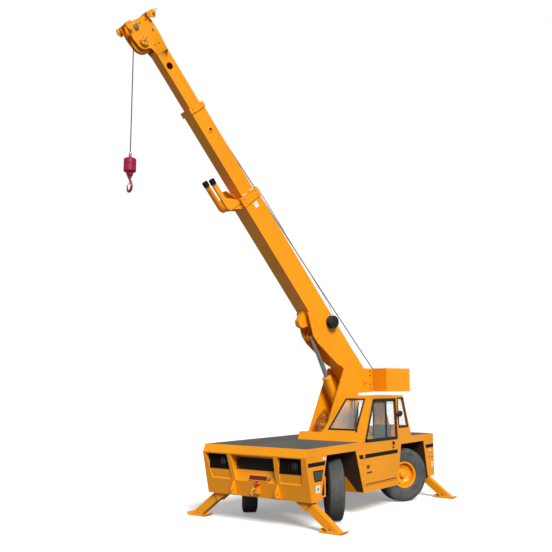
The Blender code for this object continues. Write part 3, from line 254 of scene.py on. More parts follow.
def paintFinish():
    # sprayed enamel: slow shade drift, faint orange peel, road dust low down
    look = paintLook
    f = Finish("machinePaint", look["colour"], look["roughness"], 0.0, look["coat"])
    drift = f.noise(1.3, 3.0)
    fine = f.noise(38.0, 4.0)
    colour = f.mix(f.ramp(drift, 0.3, 0.7), shade(look["colour"], 0.93), shade(look["colour"], 1.05))
    low = 1.0 - f.ramp(f.height() * 0.9, 0.25, 0.75)
    dust = low * f.ramp(f.noise(7.0, 6.0, 0.65), 0.45, 0.75) * look["dust"]
    f.set("Base Color", f.mix(dust, colour, (0.42, 0.25, 0.09)))
    f.set("Roughness", fine * 0.1 + 0.26 + dust)
    f.bump(f.noise(420.0, 2.0), 0.05, 0.001)
    return f.material


def deckFinish():
    # sand-filled anti-slip coating, scuffed lighter where loads slide
    f = Finish("antiSlipDeck", (0.085, 0.092, 0.095), 0.8)
    grit = f.noise(520.0, 2.0)
    scuff = f.ramp(f.noise(2.2, 8.0, 0.7), 0.42, 0.78)
    colour = f.mix(scuff * 0.6, (0.06, 0.066, 0.069), (0.15, 0.158, 0.16))
    f.set("Base Color", f.mix(f.ramp(grit, 0.35, 0.75) * 0.5, colour, (0.2, 0.205, 0.2)))
    f.set("Roughness", 0.72 + grit * 0.25)
    f.bump(grit, 0.6, 0.002)
    return f.material


def rubberFinish(name, colour, dusty):
    f = Finish(name, colour, 0.75)
    dust = f.ramp(f.noise(6.0, 7.0, 0.65), 0.35, 0.8) * dusty
    f.set("Base Color", f.mix(dust, colour, (0.23, 0.215, 0.19)))
    f.set("Roughness", 0.66 + dust * 0.4)
    f.bump(f.noise(260.0, 3.0), 0.25, 0.001)
    return f.material


def steelFinish(name, colour, roughness, metallic, wear=0.15):
    f = Finish(name, colour, roughness, metallic)
    cloud = f.noise(9.0, 5.0, 0.6)
    f.set("Base Color", f.mix(f.ramp(cloud, 0.35, 0.75), shade(colour, 0.8), shade(colour, 1.3)))
    f.set("Roughness", cloud * wear + (roughness - wear / 2))
    f.bump(f.noise(180.0, 3.0), 0.12, 0.001)
    return f.material


def rodFinish():
    # ground and chromed, with fine lengthwise oil streaks
    f = Finish("chromedRod", (0.72, 0.73, 0.74), 0.12, 1.0)
    streak = f.noise(60.0, 2.0)
    f.set("Roughness", streak * 0.18 + 0.04)
    return f.material


def glassFinish():
    f = Finish("paleGlass", (0.62, 0.82, 0.82), 0.04, 0.0, 0.3, 0.12)
    film = f.noise(2.5, 4.0)
    f.set("Roughness", film * 0.06 + 0.02)
    f.set("Alpha", film * 0.06 + 0.08)
    return f.material


def redFinish():
    f = Finish("hookPaint", (0.37, 0.008, 0.058), 0.38, 0.0, 0.2)
    chip = f.ramp(f.noise(46.0, 6.0, 0.7), 0.60, 0.68)
    f.set("Base Color", f.mix(chip * 0.55, (0.37, 0.008, 0.058), (0.09, 0.05, 0.05)))
    f.set("Roughness", 0.3 + chip * 0.3)
    f.bump(chip * -1.0, 0.3, 0.0006)
    return f.material


def ropeFinish():
    f = Finish("greasedWire", (0.03, 0.029, 0.028), 0.5, 0.2)
    grease = f.noise(30.0, 4.0)
    f.set("Base Color", f.mix(grease, (0.012, 0.011, 0.010), (0.06, 0.058, 0.056)))
    f.set("Roughness", grease * 0.3 + 0.3)
    return f.material


def vinylFinish():
    f = Finish("seatVinyl", (0.028, 0.029, 0.031), 0.5)
    grain = f.node("ShaderNodeTexVoronoi", {}, {"Vector": f.place, "Scale": 380.0}, "Distance")
    f.set("Roughness", grain * 0.2 + 0.42)
    f.bump(grain, 0.35, 0.0008)
    return f.material


def plainFinish(name, colour, roughness, coat=0.0, gloss=0.5):
    f = Finish(name, colour, roughness, 0.0, coat)
    f.set("Specular IOR Level", gloss)
    cloud = f.noise(90.0, 3.0)
    f.set("Base Color", f.mix(cloud, shade(colour, 0.88), shade(colour, 1.12)))
    f.set("Roughness", cloud * 0.14 + (roughness - 0.07))
    f.bump(cloud, 0.06, 0.0006)
    return f.material


finishes = {
    "paint": paintFinish(),
    "deck": deckFinish(),
    "tyre": rubberFinish("tyreRubber", (0.05, 0.057, 0.064), 0.36),
    "hose": rubberFinish("hoseRubber", (0.016, 0.016, 0.017), 0.08),
    "rustHose": rubberFinish("paintedHose", (0.26, 0.075, 0.012), 0.1),
    "gasket": rubberFinish("gasketRubber", (0.010, 0.010, 0.011), 0.04),
    "dark": steelFinish("blackedSteel", (0.035, 0.034, 0.034), 0.5, 0.3),
    "axle": steelFinish("axlePaint", (0.05, 0.046, 0.042), 0.6, 0.2),
    "steel": steelFinish("bareSteel", (0.45, 0.45, 0.44), 0.35, 1.0),
    "rod": rodFinish(),
    "glass": glassFinish(),
    "red": redFinish(),
    "rope": ropeFinish(),
    "vinyl": vinylFinish(),
    "black": plainFinish("blackEnamel", (0.010, 0.008, 0.007), 0.5, 0.0, 0.2),
    "plastic": plainFinish("blackPlastic", (0.014, 0.014, 0.015), 0.55, 0.0, 0.3),
    "white": plainFinish("whiteDecal", (0.78, 0.8, 0.77), 0.4),
    "green": plainFinish("greenDecal", (0.12, 0.42, 0.2), 0.4),
    "redLens": plainFinish("redLens", (0.5, 0.01, 0.01), 0.15, 0.8),
    "lens": plainFinish("clearLens", (0.82, 0.84, 0.85), 0.08, 0.9),
    "lamp": plainFinish("lampGlass", (0.16, 0.17, 0.18), 0.12, 0.4),
    "smoke": plainFinish("smokedLens", (0.05, 0.058, 0.055), 0.2, 0.5),
    # painted shade: a dark colour for the shaded walls and roofs of the wheel arches
    "liner": plainFinish("archLiner", (0.05, 0.028, 0.018), 0.8, 0.0, 0.2),
    "maroon": plainFinish("maroonPlate", (0.14, 0.018, 0.008), 0.45),
    "brown": plainFinish("brownDecal", (0.13, 0.05, 0.014), 0.45),
    "brass": steelFinish("brassFitting", (0.62, 0.44, 0.16), 0.35, 1.0),
}
cadFinish = {"paint": "paint", "deck_black": "deck", "dark_steel": "dark", "bare_steel": "rod", "glass": "glass",
             "trim": "plastic", "hook_red": "red", "tyre": "tyre"}
cadSpecial = {"front_axle": "axle", "rear_axle": "axle", "hoist_rope": "rope", "winch_drum": "dark",
              "tow_hook": "paint", "front_outrigger_housing": "paint", "rear_outrigger_housing": "paint"}


def dressFrame():
    slots = {part["node"]: part["material_slot"] for part in frame["record"]["subparts"]}
    for name, obj in nodes.items():
        chosen = cadSpecial.get(name, cadFinish[slots[name]])
        obj.data.materials.clear()
        obj.data.materials.append(finishes[chosen])


dressFrame()
print("finishes made:", len(finishes))


def settle(obj, body, finish):
    obj.data.materials.append(finishes[finish])
    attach(obj, body)
    return obj


def makePart(name, bm, place, body, finish, bevel=0.0, smooth=35.0):
    # the bmesh becomes one piece, placed in its mesh
    bmesh.ops.transform(bm, matrix=place, verts=bm.verts)
    bmesh.ops.recalc_face_normals(bm, faces=bm.faces)
    mesh = bpy.data.meshes.new(name)
    bm.to_mesh(mesh)
    bm.free()
    mesh.shade_smooth()
    mesh.set_sharp_from_angle(angle=math.radians(smooth))
    obj = bpy.data.objects.new(name, mesh)
    bpy.context.scene.collection.objects.link(obj)
    if bevel:
        edge = obj.modifiers.new("edge", "BEVEL")
        edge.width = bevel
        edge.segments = 2
        edge.limit_method = "ANGLE"
        edge.angle_limit = math.radians(40)
    return settle(obj, body, finish)


def addBox(bm, low, high):
    low, high = Vector(low), Vector(high)
    size = high - low
    bmesh.ops.create_cube(bm, size=1.0, matrix=Matrix.Translation((low + high) / 2) @ Matrix.Diagonal((*size, 1.0)))


def addRod(bm, start, end, radius, segments=16, endRadius=None):
    start, end = Vector(start), Vector(end)
    turn = up.rotation_difference(end - start).to_matrix().to_4x4()
    bmesh.ops.create_cone(
        bm, cap_ends=True, segments=segments, radius1=radius, radius2=radius if endRadius is None else endRadius,
        depth=(end - start).length, matrix=Matrix.Translation((start + end) / 2) @ turn,
    )


def addPath(bm, points, radius, segments=10):
    # a bent bar: straight lengths with a ball at each bend
    for start, end in zip(points, points[1:]):
        addRod(bm, start, end, radius, segments)
    for point in points[1:-1]:
        bmesh.ops.create_uvsphere(bm, u_segments=segments, v_segments=6, radius=radius,
                                  matrix=Matrix.Translation(point))


def addBolt(bm, point, direction, size):
    # a washer and a hexagon head standing on a face
    point, direction = Vector(point), Vector(direction).normalized()
    addRod(bm, point, point + direction * size * 0.18, size * 1.15, 14)
    addRod(bm, point + direction * size * 0.18, point + direction * size * 0.85, size * 0.9, 6, size * 0.84)


def addTurned(bm, profile, centre, axis, steps=32):
    # a profile of (radius, height) spun about an axis
    turn = up.rotation_difference(Vector(axis)).to_matrix().to_4x4()
    place = Matrix.Translation(centre) @ turn
    verts = [bm.verts.new(place @ Vector((r, 0, h))) for r, h in profile]
    edges = [bm.edges.new(pair) for pair in zip(verts, verts[1:])]
    bmesh.ops.spin(bm, geom=verts + edges, cent=centre, axis=turn @ up, angle=math.tau, steps=steps, use_merge=True)
    bmesh.ops.remove_doubles(bm, verts=bm.verts, dist=0.00002)


def addFlat(bm, outline, normal, thick, place=Matrix.Identity(4)):
    # an outline in space given thickness along a normal
    verts = [bm.verts.new(place @ Vector(point)) for point in outline]
    face = bm.faces.new(verts)
    made = bmesh.ops.extrude_face_region(bm, geom=[face])
    moved = [item for item in made["geom"] if isinstance(item, bmesh.types.BMVert)]
    bmesh.ops.translate(bm, verts=moved, vec=Vector(normal).normalized() * thick)


def addBand(bm, outline, normal, width, thick):
    # a frame that follows an outline on a face, such as a rubber gasket
    normal = Vector(normal).normalized()
    points = [Vector(p) for p in outline]
    middle = sum(points, Vector()) / len(points)
    for start, end in zip(points, points[1:] + points[:1]):
        along = (end - start).normalized()
        inward = normal.cross(along)
        if inward.dot(middle - start) < 0:
            inward = -inward
        outline4 = [start - inward * width / 2, end - inward * width / 2, end + inward * width / 2,
                    start + inward * width / 2]
        addFlat(bm, outline4, normal, thick)
    for point in points:
        addRod(bm, point, point + normal * thick, width / 2, 12)


def curvePiece(name, points, radius, place, body, finish, cyclic=False, smooth=True):
    # a hose or bent bar along smooth points
    data = bpy.data.curves.new(name, "CURVE")
    data.dimensions = "3D"
    data.bevel_depth = radius
    data.bevel_resolution = 3
    data.use_fill_caps = True
    data.resolution_u = 8
    spline = data.splines.new("BEZIER" if smooth else "POLY")
    if smooth:
        spline.bezier_points.add(len(points) - 1)
        for spot, point in zip(spline.bezier_points, points):
            spot.co = place @ Vector(point)
            spot.handle_left_type = spot.handle_right_type = "AUTO"
    else:
        spline.points.add(len(points) - 1)
        for spot, point in zip(spline.points, points):
            spot.co = (*(place @ Vector(point)), 1.0)
    spline.use_cyclic_u = cyclic
    obj = bpy.data.objects.new(name, data)
    bpy.context.scene.collection.objects.link(obj)
    return settle(obj, body, finish)


def roundSpots(count, radius, phase=0.0):
    # points spaced evenly round a circle
    turns = [math.tau * (i + phase) / count for i in range(count)]
    return [(radius * math.cos(turn), radius * math.sin(turn)) for turn in turns]


def wireRing(across, along, radius):
    # the round section of one turn of rope or cable, as a profile
    spots = roundSpots(8, radius)
    return [(across + c, along + s) for c, s in spots + spots[:1]]


def partMaker(place, body):
    # makes pieces that share one place and one body
    def make(name, bm, finish, bevel=0.0, smooth=35.0):
        return makePart(name, bm, place, body, finish, bevel, smooth)

    return make


carrierPart, doorPart = partMaker(carrierPlace, "chassis"), partMaker(carrierPlace, "door")
turretPart = partMaker(turretPlace, "turret")
basePart, midPart, tipPart = (partMaker(boomPlace, "boom_" + part) for part in ("base", "mid", "tip"))
barrelPart, hoistPart = partMaker(liftPlace, "lift_barrel"), partMaker(Matrix.Identity(4), "hoist")


def softenEdges(names, width):
    # rounds the CAD pieces' sharp edges a little, as rolled and welded plate has
    for name in names:
        weld = nodes[name].modifiers.new("weld", "WELD")
        weld.merge_threshold = 0.00005
        edge = nodes[name].modifiers.new("edge", "BEVEL")
        edge.width = width
        edge.segments = 2
        edge.limit_method = "ANGLE"
        edge.angle_limit = math.radians(50)
        edge.use_clamp_overlap = True
        edge.harden_normals = False


def makeFloor():
    bm = bmesh.new()
    bmesh.ops.create_grid(bm, x_segments=2, y_segments=2, size=60.0)
    mesh = bpy.data.meshes.new("floor")
    bm.to_mesh(mesh)
    bm.free()
    floor = bpy.data.objects.new("floor", mesh)
    bpy.context.scene.collection.objects.link(floor)
    paper = Finish("studioFloor", (studio["floor"],) * 3, 0.9)
    paper.set("Roughness", paper.noise(3.0) * 0.1 + 0.85)
    paper.set("Emission Color", (1.0, 1.0, 1.0, 1.0))
    paper.set("Emission Strength", studio["floorGlow"])
    # the floor throws back less light than it shows, so the undersides stay deep
    dim = paper.tree.nodes.new("ShaderNodeBsdfDiffuse")
    dim.inputs["Color"].default_value = (*(studio["bounce"],) * 3, 1.0)
    splitByCamera(paper.tree, dim, paper.shader, "Material Output")
    floor.data.materials.append(paper.material)


makeFloor()

front = {"backX": 2.2455, "grilleX": 2.298, "grilleLow": 0.80, "grilleHigh": 1.038, "bars": 15, "barWide": 0.009,
         "outer": ((-0.925, -0.468), (0.458, 0.882)), "plate": (-0.415, 0.385), "lean": 0.3516}


def makeGrilles():
    x, low, high = front["grilleX"], front["grilleLow"], front["grilleHigh"]
    for name, (left, right) in zip(("Right", "Left"), front["outer"]):
        backing, bars = bmesh.new(), bmesh.new()
        addBox(backing, (x, left, low), (x + 0.004, right, high))
        addBox(bars, (x + 0.004, left, low), (x + 0.03, right, low + 0.014))
        addBox(bars, (x + 0.004, left, high - 0.014), (x + 0.03, right, high))
        step = (right - left) / front["bars"]
        for i in range(front["bars"] + 1):
            y = min(max(left + i * step, left + 0.005), right - 0.005)
            addBox(bars, (x + 0.006, y - front["barWide"] / 2, low), (x + 0.028, y + front["barWide"] / 2, high))
        carrierPart("grilleBack" + name, backing, "plastic")
        carrierPart("grilleBars" + name, bars, "black", 0.0015)
        # a headlight behind the bars
        lamp = bmesh.new()
        middle = (left + right) / 2 + 0.06
        addTurned(lamp, [(0.0, 0.012), (0.04, 0.010), (0.062, 0.004), (0.07, 0.001), (0.07, 0.0)],
                  (x + 0.0045, middle, 0.925), (1, 0, 0))
        carrierPart("headlight" + name, lamp, "lamp")
        # the apron below them, set back a little from the beam's face
        apron = bmesh.new()
        outline = [(2.246, low + 0.006), (2.322, low + 0.006), (2.322, low - 0.008), (2.283, 0.659), (2.246, 0.659)]
        addFlat(apron, [(px, left, pz) for px, pz in outline], (0, 1, 0), right - left)
        carrierPart("grilleApron" + name, apron, "paint", 0.002)
    plate = bmesh.new()
    x = front["backX"]
    left, right = front["plate"]
    addBox(plate, (x, left + 0.01, 0.812), (x + 0.006, right - 0.01, 0.995))
    carrierPart("blankNosePlate", plate, "black", 0.002)
    bolts = bmesh.new()
    for y in (left + 0.04, right - 0.04):
        for z in (0.835, 0.972):
            addBolt(bolts, (x + 0.006, y, z), (1, 0, 0), 0.009)
    carrierPart("nosePlateBolts", bolts, "steel")


def onSlope(y, z, proud=0.0):
    # a point on the sloping floor of the middle bay
    return (front["backX"] + (front["grilleLow"] - z) * front["lean"] + proud, y, z)


def makeTowCoupling():
    slot, guard = bmesh.new(), bmesh.new()
    low, high, left, right = 0.662, 0.735, -0.135, 0.215
    addFlat(slot, [onSlope(left, low), onSlope(right, low), onSlope(right, high), onSlope(left, high)], (1, 0, 0.35),
            0.003)
    carrierPart("couplingPlate", slot, "maroon")
    addBand(guard, [onSlope(left, low), onSlope(right, low), onSlope(right, high), onSlope(left, high)],
            (1, 0, 0.35), 0.012, 0.006)
    carrierPart("couplingFrame", guard, "paint", 0.001)
    spare = bmesh.new()
    addTurned(spare, [(0.0, 0.03), (0.016, 0.03), (0.02, 0.022), (0.02, 0.0), (0.0, 0.0)], onSlope(0.26, 0.70),
              (1, 0, 0.35), 20)
    carrierPart("airCouplingPlain", spare, "steel", 0.001)
    red = bmesh.new()
    addTurned(red, [(0.0, 0.03), (0.018, 0.03), (0.026, 0.022), (0.028, 0.0), (0.0, 0.0)], (2.315, 0.06, 0.625),
              (1, 0, 0.4))
    addRod(red, (2.285, 0.06, 0.612), (2.315, 0.06, 0.625), 0.014)
    addPath(red, [(2.33, 0.06, 0.64), (2.345, 0.05, 0.60), (2.335, 0.04, 0.575)], 0.012, 10)
    carrierPart("airCouplingRed", red, "redLens", 0.001)
    pin = bmesh.new()
    addRod(pin, (2.30, 0, 0.44), (2.30, 0, 0.605), 0.012)
    addRod(pin, (2.30, 0, 0.605), (2.30, 0, 0.612), 0.02)
    addPath(pin, [(2.30, 0, 0.61), (2.30, 0.03, 0.632), (2.30, 0, 0.65), (2.30, -0.03, 0.632), (2.30, 0, 0.61)],
            0.004, 8)
    carrierPart("towPin", pin, "steel", 0.001)


corner = {"y": 0.985, "lamp": ((1.935, 0.848), (2.195, 0.848), (2.155, 0.705), (1.975, 0.705))}


def sidePanel(bm, outline, side, thick=0.002, proud=0.0):
    # a flat piece on the carrier's side face; the outline gives X and height
    y = side * (corner["y"] + proud)
    addFlat(bm, [(px, y, pz) for px, pz in outline], (0, side, 0), thick)


def sidePart(name, outline, side, finish, thick=0.001, bevel=0.0, proud=0.0):
    bm = bmesh.new()
    sidePanel(bm, outline, side, thick, proud)
    return carrierPart(name + ("Left" if side > 0 else "Right"), bm, finish, bevel)


def boxPart(make, name, low, high, finish, bevel=0.0):
    bm = bmesh.new()
    addBox(bm, low, high)
    return make(name, bm, finish, bevel)


def makeCornerFittings():
    for hand, side in (("Left", 1), ("Right", -1)):
        rim = bmesh.new()
        addBand(rim, [(px, side * corner["y"], pz) for px, pz in corner["lamp"]], (0, side, 0), 0.014, 0.006)
        carrierPart("sideLampRim" + hand, rim, "black")
        sidePart("sideLampGlass", corner["lamp"], side, "smoke", 0.003, 0.001)
        sidePart("noseStripe", [(1.855, 0.975), (2.345, 0.975), (2.332, 0.915), (1.875, 0.915)], side, "black")
        sidePart("noseLabel", [(2.0, 0.64), (2.13, 0.64), (2.13, 0.53), (2.0, 0.53)], side, "white")
        sidePart("noseLabelSpot", [(2.04, 0.605), (2.09, 0.605), (2.09, 0.565), (2.04, 0.565)], side, "green",
                 0.0005, 0.0, 0.001)
        handle = bmesh.new()
        y = side * 0.965
        addPath(handle, [(1.95, y, 0.745), (1.855, y, 0.745), (1.845, y, 0.73), (1.845, y, 0.47), (1.855, y, 0.455),
                         (1.99, y, 0.455)], 0.012, 12)
        carrierPart("cornerGrabBar" + hand, handle, "paint")
        sidePart("sideMarker", [(1.835, 1.035), (1.925, 1.035), (1.925, 0.995), (1.85, 0.995)], side, "lens", 0.003,
                 0.001)


makeGrilles()
makeTowCoupling()
makeCornerFittings()

side = {"stripeLow": 0.912, "stripeHigh": 0.977}


def makeSideFittings():
    for hand, s in (("Left", 1), ("Right", -1)):
        lamp = bmesh.new()
        sidePart("tailStripe", [(-2.148, side["stripeLow"]), (-1.80, side["stripeLow"]), (-1.775, side["stripeHigh"]),
                                (-2.148, side["stripeHigh"])], s, "black")
        sidePart("tailReflector", [(-2.02, 0.845), (-1.93, 0.845), (-1.93, 0.875), (-2.02, 0.875)], s, "white",
                 0.002, 0.001)
        for z in (0.62, 0.56):
            addTurned(lamp, [(0.0, 0.010), (0.022, 0.008), (0.03, 0.002), (0.03, 0.0)],
                      (-2.06, s * corner["y"], z), (0, s, 0), 20)
        carrierPart("tailMarker" + hand, lamp, "lens")
        sidePart("tailSeam", [(-2.148, 0.728), (-1.86, 0.728), (-1.86, 0.734), (-2.148, 0.734)], s, "dark", 0.0008)


arch = {"top": 1.054, "foot": 0.385, "inner": 0.51, "outer": 0.978, "thick": 0.0015,
        "frontWall": (0.92, 0.67, 0.365), "rearWall": (-1.70, -1.857, 0.38), "roofs": ((-1.69, -0.74), (0.93, 1.80))}


def makeArchPaintedShade():
    # painted shade: dark sheets on the walls behind the wheels and over them, where the arches lie in shade
    for hand, s in (("Left", 1), ("Right", -1)):
        walls = bmesh.new()
        for topX, lowX, lowZ in (arch["frontWall"], arch["rearWall"]):
            lean = (topX - lowX) / (arch["top"] - lowZ)
            low, y0, y1 = arch["foot"], arch["inner"], arch["outer"]
            spots = [(y0, arch["top"]), (y1, arch["top"]), (y1, low), (y1 - 0.12, low), (y0 + 0.2, 0.62), (y0, 0.62)]
            outline = [(topX - (arch["top"] - z) * lean + 0.0003, s * y, z) for y, z in spots]
            addFlat(walls, outline, (1, 0, -lean), arch["thick"])
        for first, last in arch["roofs"]:
            low, high = sorted((s * 0.36, s * arch["outer"]))
            addBox(walls, (first, low, arch["top"] - arch["thick"]), (last, high, arch["top"]))
        carrierPart("archLiner" + hand, walls, "liner")


makeSideFittings()
makeArchPaintedShade()
print("carrier fittings made")

wheel = {"tyreRadius": 0.479, "treadHalf": 0.128, "bead": 0.222, "grooves": 9, "nuts": 8, "nutCircle": 0.128}


def tyreProfile():
    # sidewalls with a rim guard and a ring, and a tread cut by grooves that run round it
    half, top = wheel["treadHalf"], wheel["tyreRadius"]
    wall = [(wheel["bead"], 0.094), (0.238, 0.096), (0.242, 0.112), (0.256, 0.122), (0.262, 0.1255), (0.268, 0.1225),
            (0.30, 0.128), (0.345, half), (0.386, half - 0.001), (0.390, half + 0.001), (0.398, half + 0.001),
            (0.402, half - 0.003), (top - 0.045, half - 0.008), (top - 0.024, half - 0.016),
            (top - 0.008, half - 0.028)]
    tread = []
    edge = half - 0.036
    step = 2 * edge / wheel["grooves"]
    for i in range(wheel["grooves"] + 1):
        h = edge - i * step
        crown = top - 0.004 * (h / edge) ** 2
        if 0 < i < wheel["grooves"]:
            tread += [(crown, h + 0.0035), (crown - 0.007, h + 0.002), (crown - 0.007, h - 0.002),
                      (crown, h - 0.0035)]
        else:
            tread.append((crown, h))
    return wall + tread + [(r, -h) for r, h in reversed(wall)] + [(wheel["bead"], 0.094)]


def makeWheels():
    for corner in corners:
        place = hubPlace(corner)
        body = "wheel_" + corner
        tyre = bmesh.new()
        addTurned(tyre, tyreProfile(), (0, 0, 0), (0, 1, 0), 72)
        made = makePart("tyre_" + corner + "_tread", tyre, place, body, "tyre", 0.0, 28.0)
        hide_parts("tyre_" + corner)
        nuts = bmesh.new()
        for x, z in roundSpots(wheel["nuts"], wheel["nutCircle"]):
            addBolt(nuts, (x, 0.034, z), (0, 1, 0), 0.0125)
        makePart("wheelNuts_" + corner, nuts, place, body, "paint", 0.0008)
        hub = bmesh.new()
        addTurned(hub, [(0.0, 0.084), (0.030, 0.084), (0.038, 0.078), (0.040, 0.0785)], (0, 0, 0), (0, 1, 0), 28)
        for x, z in roundSpots(10, 0.051, 0.5):
            addBolt(hub, (x, 0.071, z), (0, 1, 0), 0.005)
        makePart("hubCap_" + corner, hub, place, body, "paint")
        # lightening holes in the disc drawn as dark dots of painted shade, a valve and a bead ring
        holes = bmesh.new()
        for x, z in roundSpots(8, 0.172, 0.5):
            addTurned(holes, [(0.0, 0.0), (0.012, 0.0), (0.013, 0.002), (0.0, 0.003)], (x, 0.0385, z), (0, 1, 0), 16)
        makePart("discHoles_" + corner, holes, place, body, "dark")
        valve = bmesh.new()
        addPath(valve, [(0.19, 0.045, 0.0), (0.186, 0.075, 0.0), (0.19, 0.088, 0.0)], 0.0035, 8)
        makePart("valveStem_" + corner, valve, place, body, "brass")
        ring = bmesh.new()
        addTurned(ring, [(0.2365, 0.1105), (0.2365, 0.114), (0.230, 0.1165), (0.2235, 0.114), (0.2235, 0.1105),
                         (0.2365, 0.1105)], (0, 0, 0), (0, 1, 0), 48)
        makePart("rimRing_" + corner, ring, place, body, "paint")


makeWheels()
print("wheels made")

cab = {"y": 0.985, "band": 0.028, "stand": 0.008, "frontX": 0.70, "frontTopX": 0.365,
       "rearX": -1.181, "rearTopX": -0.846, "floorZ": 1.175, "roofZ": 1.922}


def frontX(z):
    # where the leaning front wall is at a height
    share = (z - cab["floorZ"]) / (cab["roofZ"] - cab["floorZ"])
    return cab["frontX"] + (cab["frontTopX"] - cab["frontX"]) * share


def rearX(z):
    share = (z - cab["floorZ"]) / (cab["roofZ"] - cab["floorZ"])
    return cab["rearX"] + (cab["rearTopX"] - cab["rearX"]) * share


leanFront = Vector((cab["roofZ"] - cab["floorZ"], 0, cab["frontX"] - cab["frontTopX"])).normalized()
leanRear = Vector((cab["floorZ"] - cab["roofZ"], 0, cab["rearTopX"] - cab["rearX"])).normalized()


def makeGaskets():
    def band(name, outline, normal, body="chassis", width=cab["band"]):
        bm = bmesh.new()
        addBand(bm, outline, normal, width, cab["stand"])
        makePart(name, bm, carrierPlace, body, "gasket", 0.002)

    screen = [(0.30, 1.365), (0.83, 1.365), (0.87, 1.865), (0.515, 1.865)]
    band("windscreenGasket", [(frontX(z), y, z) for y, z in screen], leanFront)
    band("quarterGasket", [(-0.66, cab["y"], 1.36), (-0.61, cab["y"], 1.87), (-0.835, cab["y"], 1.87),
                           (-1.02, cab["y"], 1.36)], (0, 1, 0))
    band("rearGasket", [(rearX(1.36), 0.56, 1.36), (rearX(1.36), 0.94, 1.36), (rearX(1.865), 0.94, 1.865),
                        (rearX(1.865), 0.56, 1.865)], leanRear)
    band("innerGasket", [(-0.62, 0.515, 1.36), (0.10, 0.515, 1.36), (0.10, 0.515, 1.86), (-0.62, 0.515, 1.86)],
         (0, -1, 0))
    band("doorGasket", [(0.585, cab["y"], 1.19), (0.29, cab["y"], 1.845), (-0.515, cab["y"], 1.845),
                        (-0.565, cab["y"], 1.18)], (0, 1, 0), "door", 0.05)


def makeDoorFittings():
    y = cab["y"]
    bars = bmesh.new()
    addBox(bars, (-0.195, y - 0.030, 1.19), (-0.170, y - 0.006, 1.84))
    addBox(bars, (-0.195, y - 0.012, 1.19), (-0.183, y + 0.002, 1.84))
    doorPart("doorMullion", bars, "gasket", 0.002)
    boxPart(doorPart, "slidingPaneEdge", (0.26, y - 0.028, 1.25), (0.275, y - 0.012, 1.80), "plastic", 0.001)
    latch = bmesh.new()
    addRod(latch, (-0.435, y, 1.095), (-0.435, y + 0.010, 1.095), 0.026, 24)
    addRod(latch, (-0.435, y + 0.010, 1.095), (-0.435, y + 0.022, 1.095), 0.015, 20)
    doorPart("doorLatch", latch, "black", 0.0015)
    grip = bmesh.new()
    addPath(grip, [(-0.385, y, 1.12), (-0.385, y + 0.03, 1.12), (-0.385, y + 0.03, 1.02), (-0.385, y, 1.02)], 0.007,
            10)
    doorPart("doorGrip", grip, "black")
    stripe = bmesh.new()
    addFlat(stripe, [(0.655, y, side["stripeLow"]), (-0.585, y, side["stripeLow"]), (-0.585, y, side["stripeHigh"]),
                     (0.655, y, side["stripeHigh"])], (0, 1, 0), 0.001)
    doorPart("doorStripe", stripe, "black")
    lead = bmesh.new()
    addFlat(lead, [(0.685, y, side["stripeLow"]), (0.79, y, side["stripeLow"]), (0.822, y, side["stripeHigh"]),
                   (0.685, y, side["stripeHigh"])], (0, 1, 0), 0.001)
    carrierPart("frontPillarStripe", lead, "black")
    label = bmesh.new()
    for low, high, left, right in ((0.74, 0.80, 0.46, 0.56), (0.66, 0.69, 0.38, 0.56)):
        addFlat(label, [(right, y, low), (left, y, low), (left, y, high), (right, y, high)], (0, 1, 0), 0.0006)
    doorPart("doorBlankLabel", label, "brown")
    boxPart(doorPart, "doorSillTrim", (-0.50, y, 0.487), (0.60, y + 0.004, 0.503), "brown", 0.001)
    tank = bmesh.new()
    addFlat(tank, [(0.79, -y, side["stripeLow"]), (-0.64, -y, side["stripeLow"]), (-0.67, -y, side["stripeHigh"]),
                   (0.822, -y, side["stripeHigh"])], (0, -1, 0), 0.001)
    carrierPart("tankStripe", tank, "black")
    boxPart(carrierPart, "toolboxLid", (-0.30, -y - 0.004, 0.50), (0.40, -y + 0.001, 0.86), "paint", 0.003)
    catches = bmesh.new()
    for x in (-0.18, 0.28):
        addBox(catches, (x - 0.02, -y - 0.014, 0.80), (x + 0.02, -y - 0.004, 0.85))
        addRod(catches, (x, -y - 0.014, 0.825), (x, -y - 0.02, 0.825), 0.008, 12)
    carrierPart("toolboxCatches", catches, "black", 0.001)


def makeMirrors():
    y = cab["y"]
    ball = bmesh.new()
    addTurned(ball, [(0.0, 0.018), (0.03, 0.016), (0.052, 0.006), (0.056, -0.004), (0.050, -0.014), (0.0, -0.018)],
              (-0.60, y + 0.05, 1.60), (0.5, 0.9, 0.1), 28)
    addPath(ball, [(-0.63, y, 1.60), (-0.625, y + 0.03, 1.60), (-0.60, y + 0.045, 1.60)], 0.008, 10)
    carrierPart("doorRearLamp", ball, "plastic", 0.001)
    low = bmesh.new()
    addTurned(low, [(0.0, 0.014), (0.024, 0.012), (0.04, 0.004), (0.042, -0.004), (0.0, -0.014)],
              (-0.69, y + 0.035, 1.605), (0.2, 1, 0.1), 24)
    addPath(low, [(-0.67, y, 1.60), (-0.68, y + 0.02, 1.60), (-0.69, y + 0.03, 1.605)], 0.007, 10)
    carrierPart("pillarLamp", low, "plastic", 0.001)


def makeWiper():
    arm = bmesh.new()
    out = leanFront * 0.022

    def onGlass(y, z):
        return Vector((frontX(z), y, z)) + out

    addRod(arm, Vector((frontX(1.345), 0.845, 1.345)), onGlass(0.845, 1.345), 0.012, 14)
    addRod(arm, onGlass(0.845, 1.345), onGlass(0.80, 1.56), 0.0045, 8)
    addRod(arm, onGlass(0.806, 1.44), onGlass(0.785, 1.80), 0.005, 8)
    carrierPart("windscreenWiper", arm, "plastic", 0.001)
    blade = bmesh.new()
    addRod(blade, onGlass(0.808, 1.42) - leanFront * 0.008, onGlass(0.783, 1.82) - leanFront * 0.008, 0.006, 8)
    carrierPart("wiperBlade", blade, "gasket")


makeGaskets()
makeDoorFittings()
makeMirrors()
makeWiper()

seatLook = {"y": 0.75, "fill": 0.7}


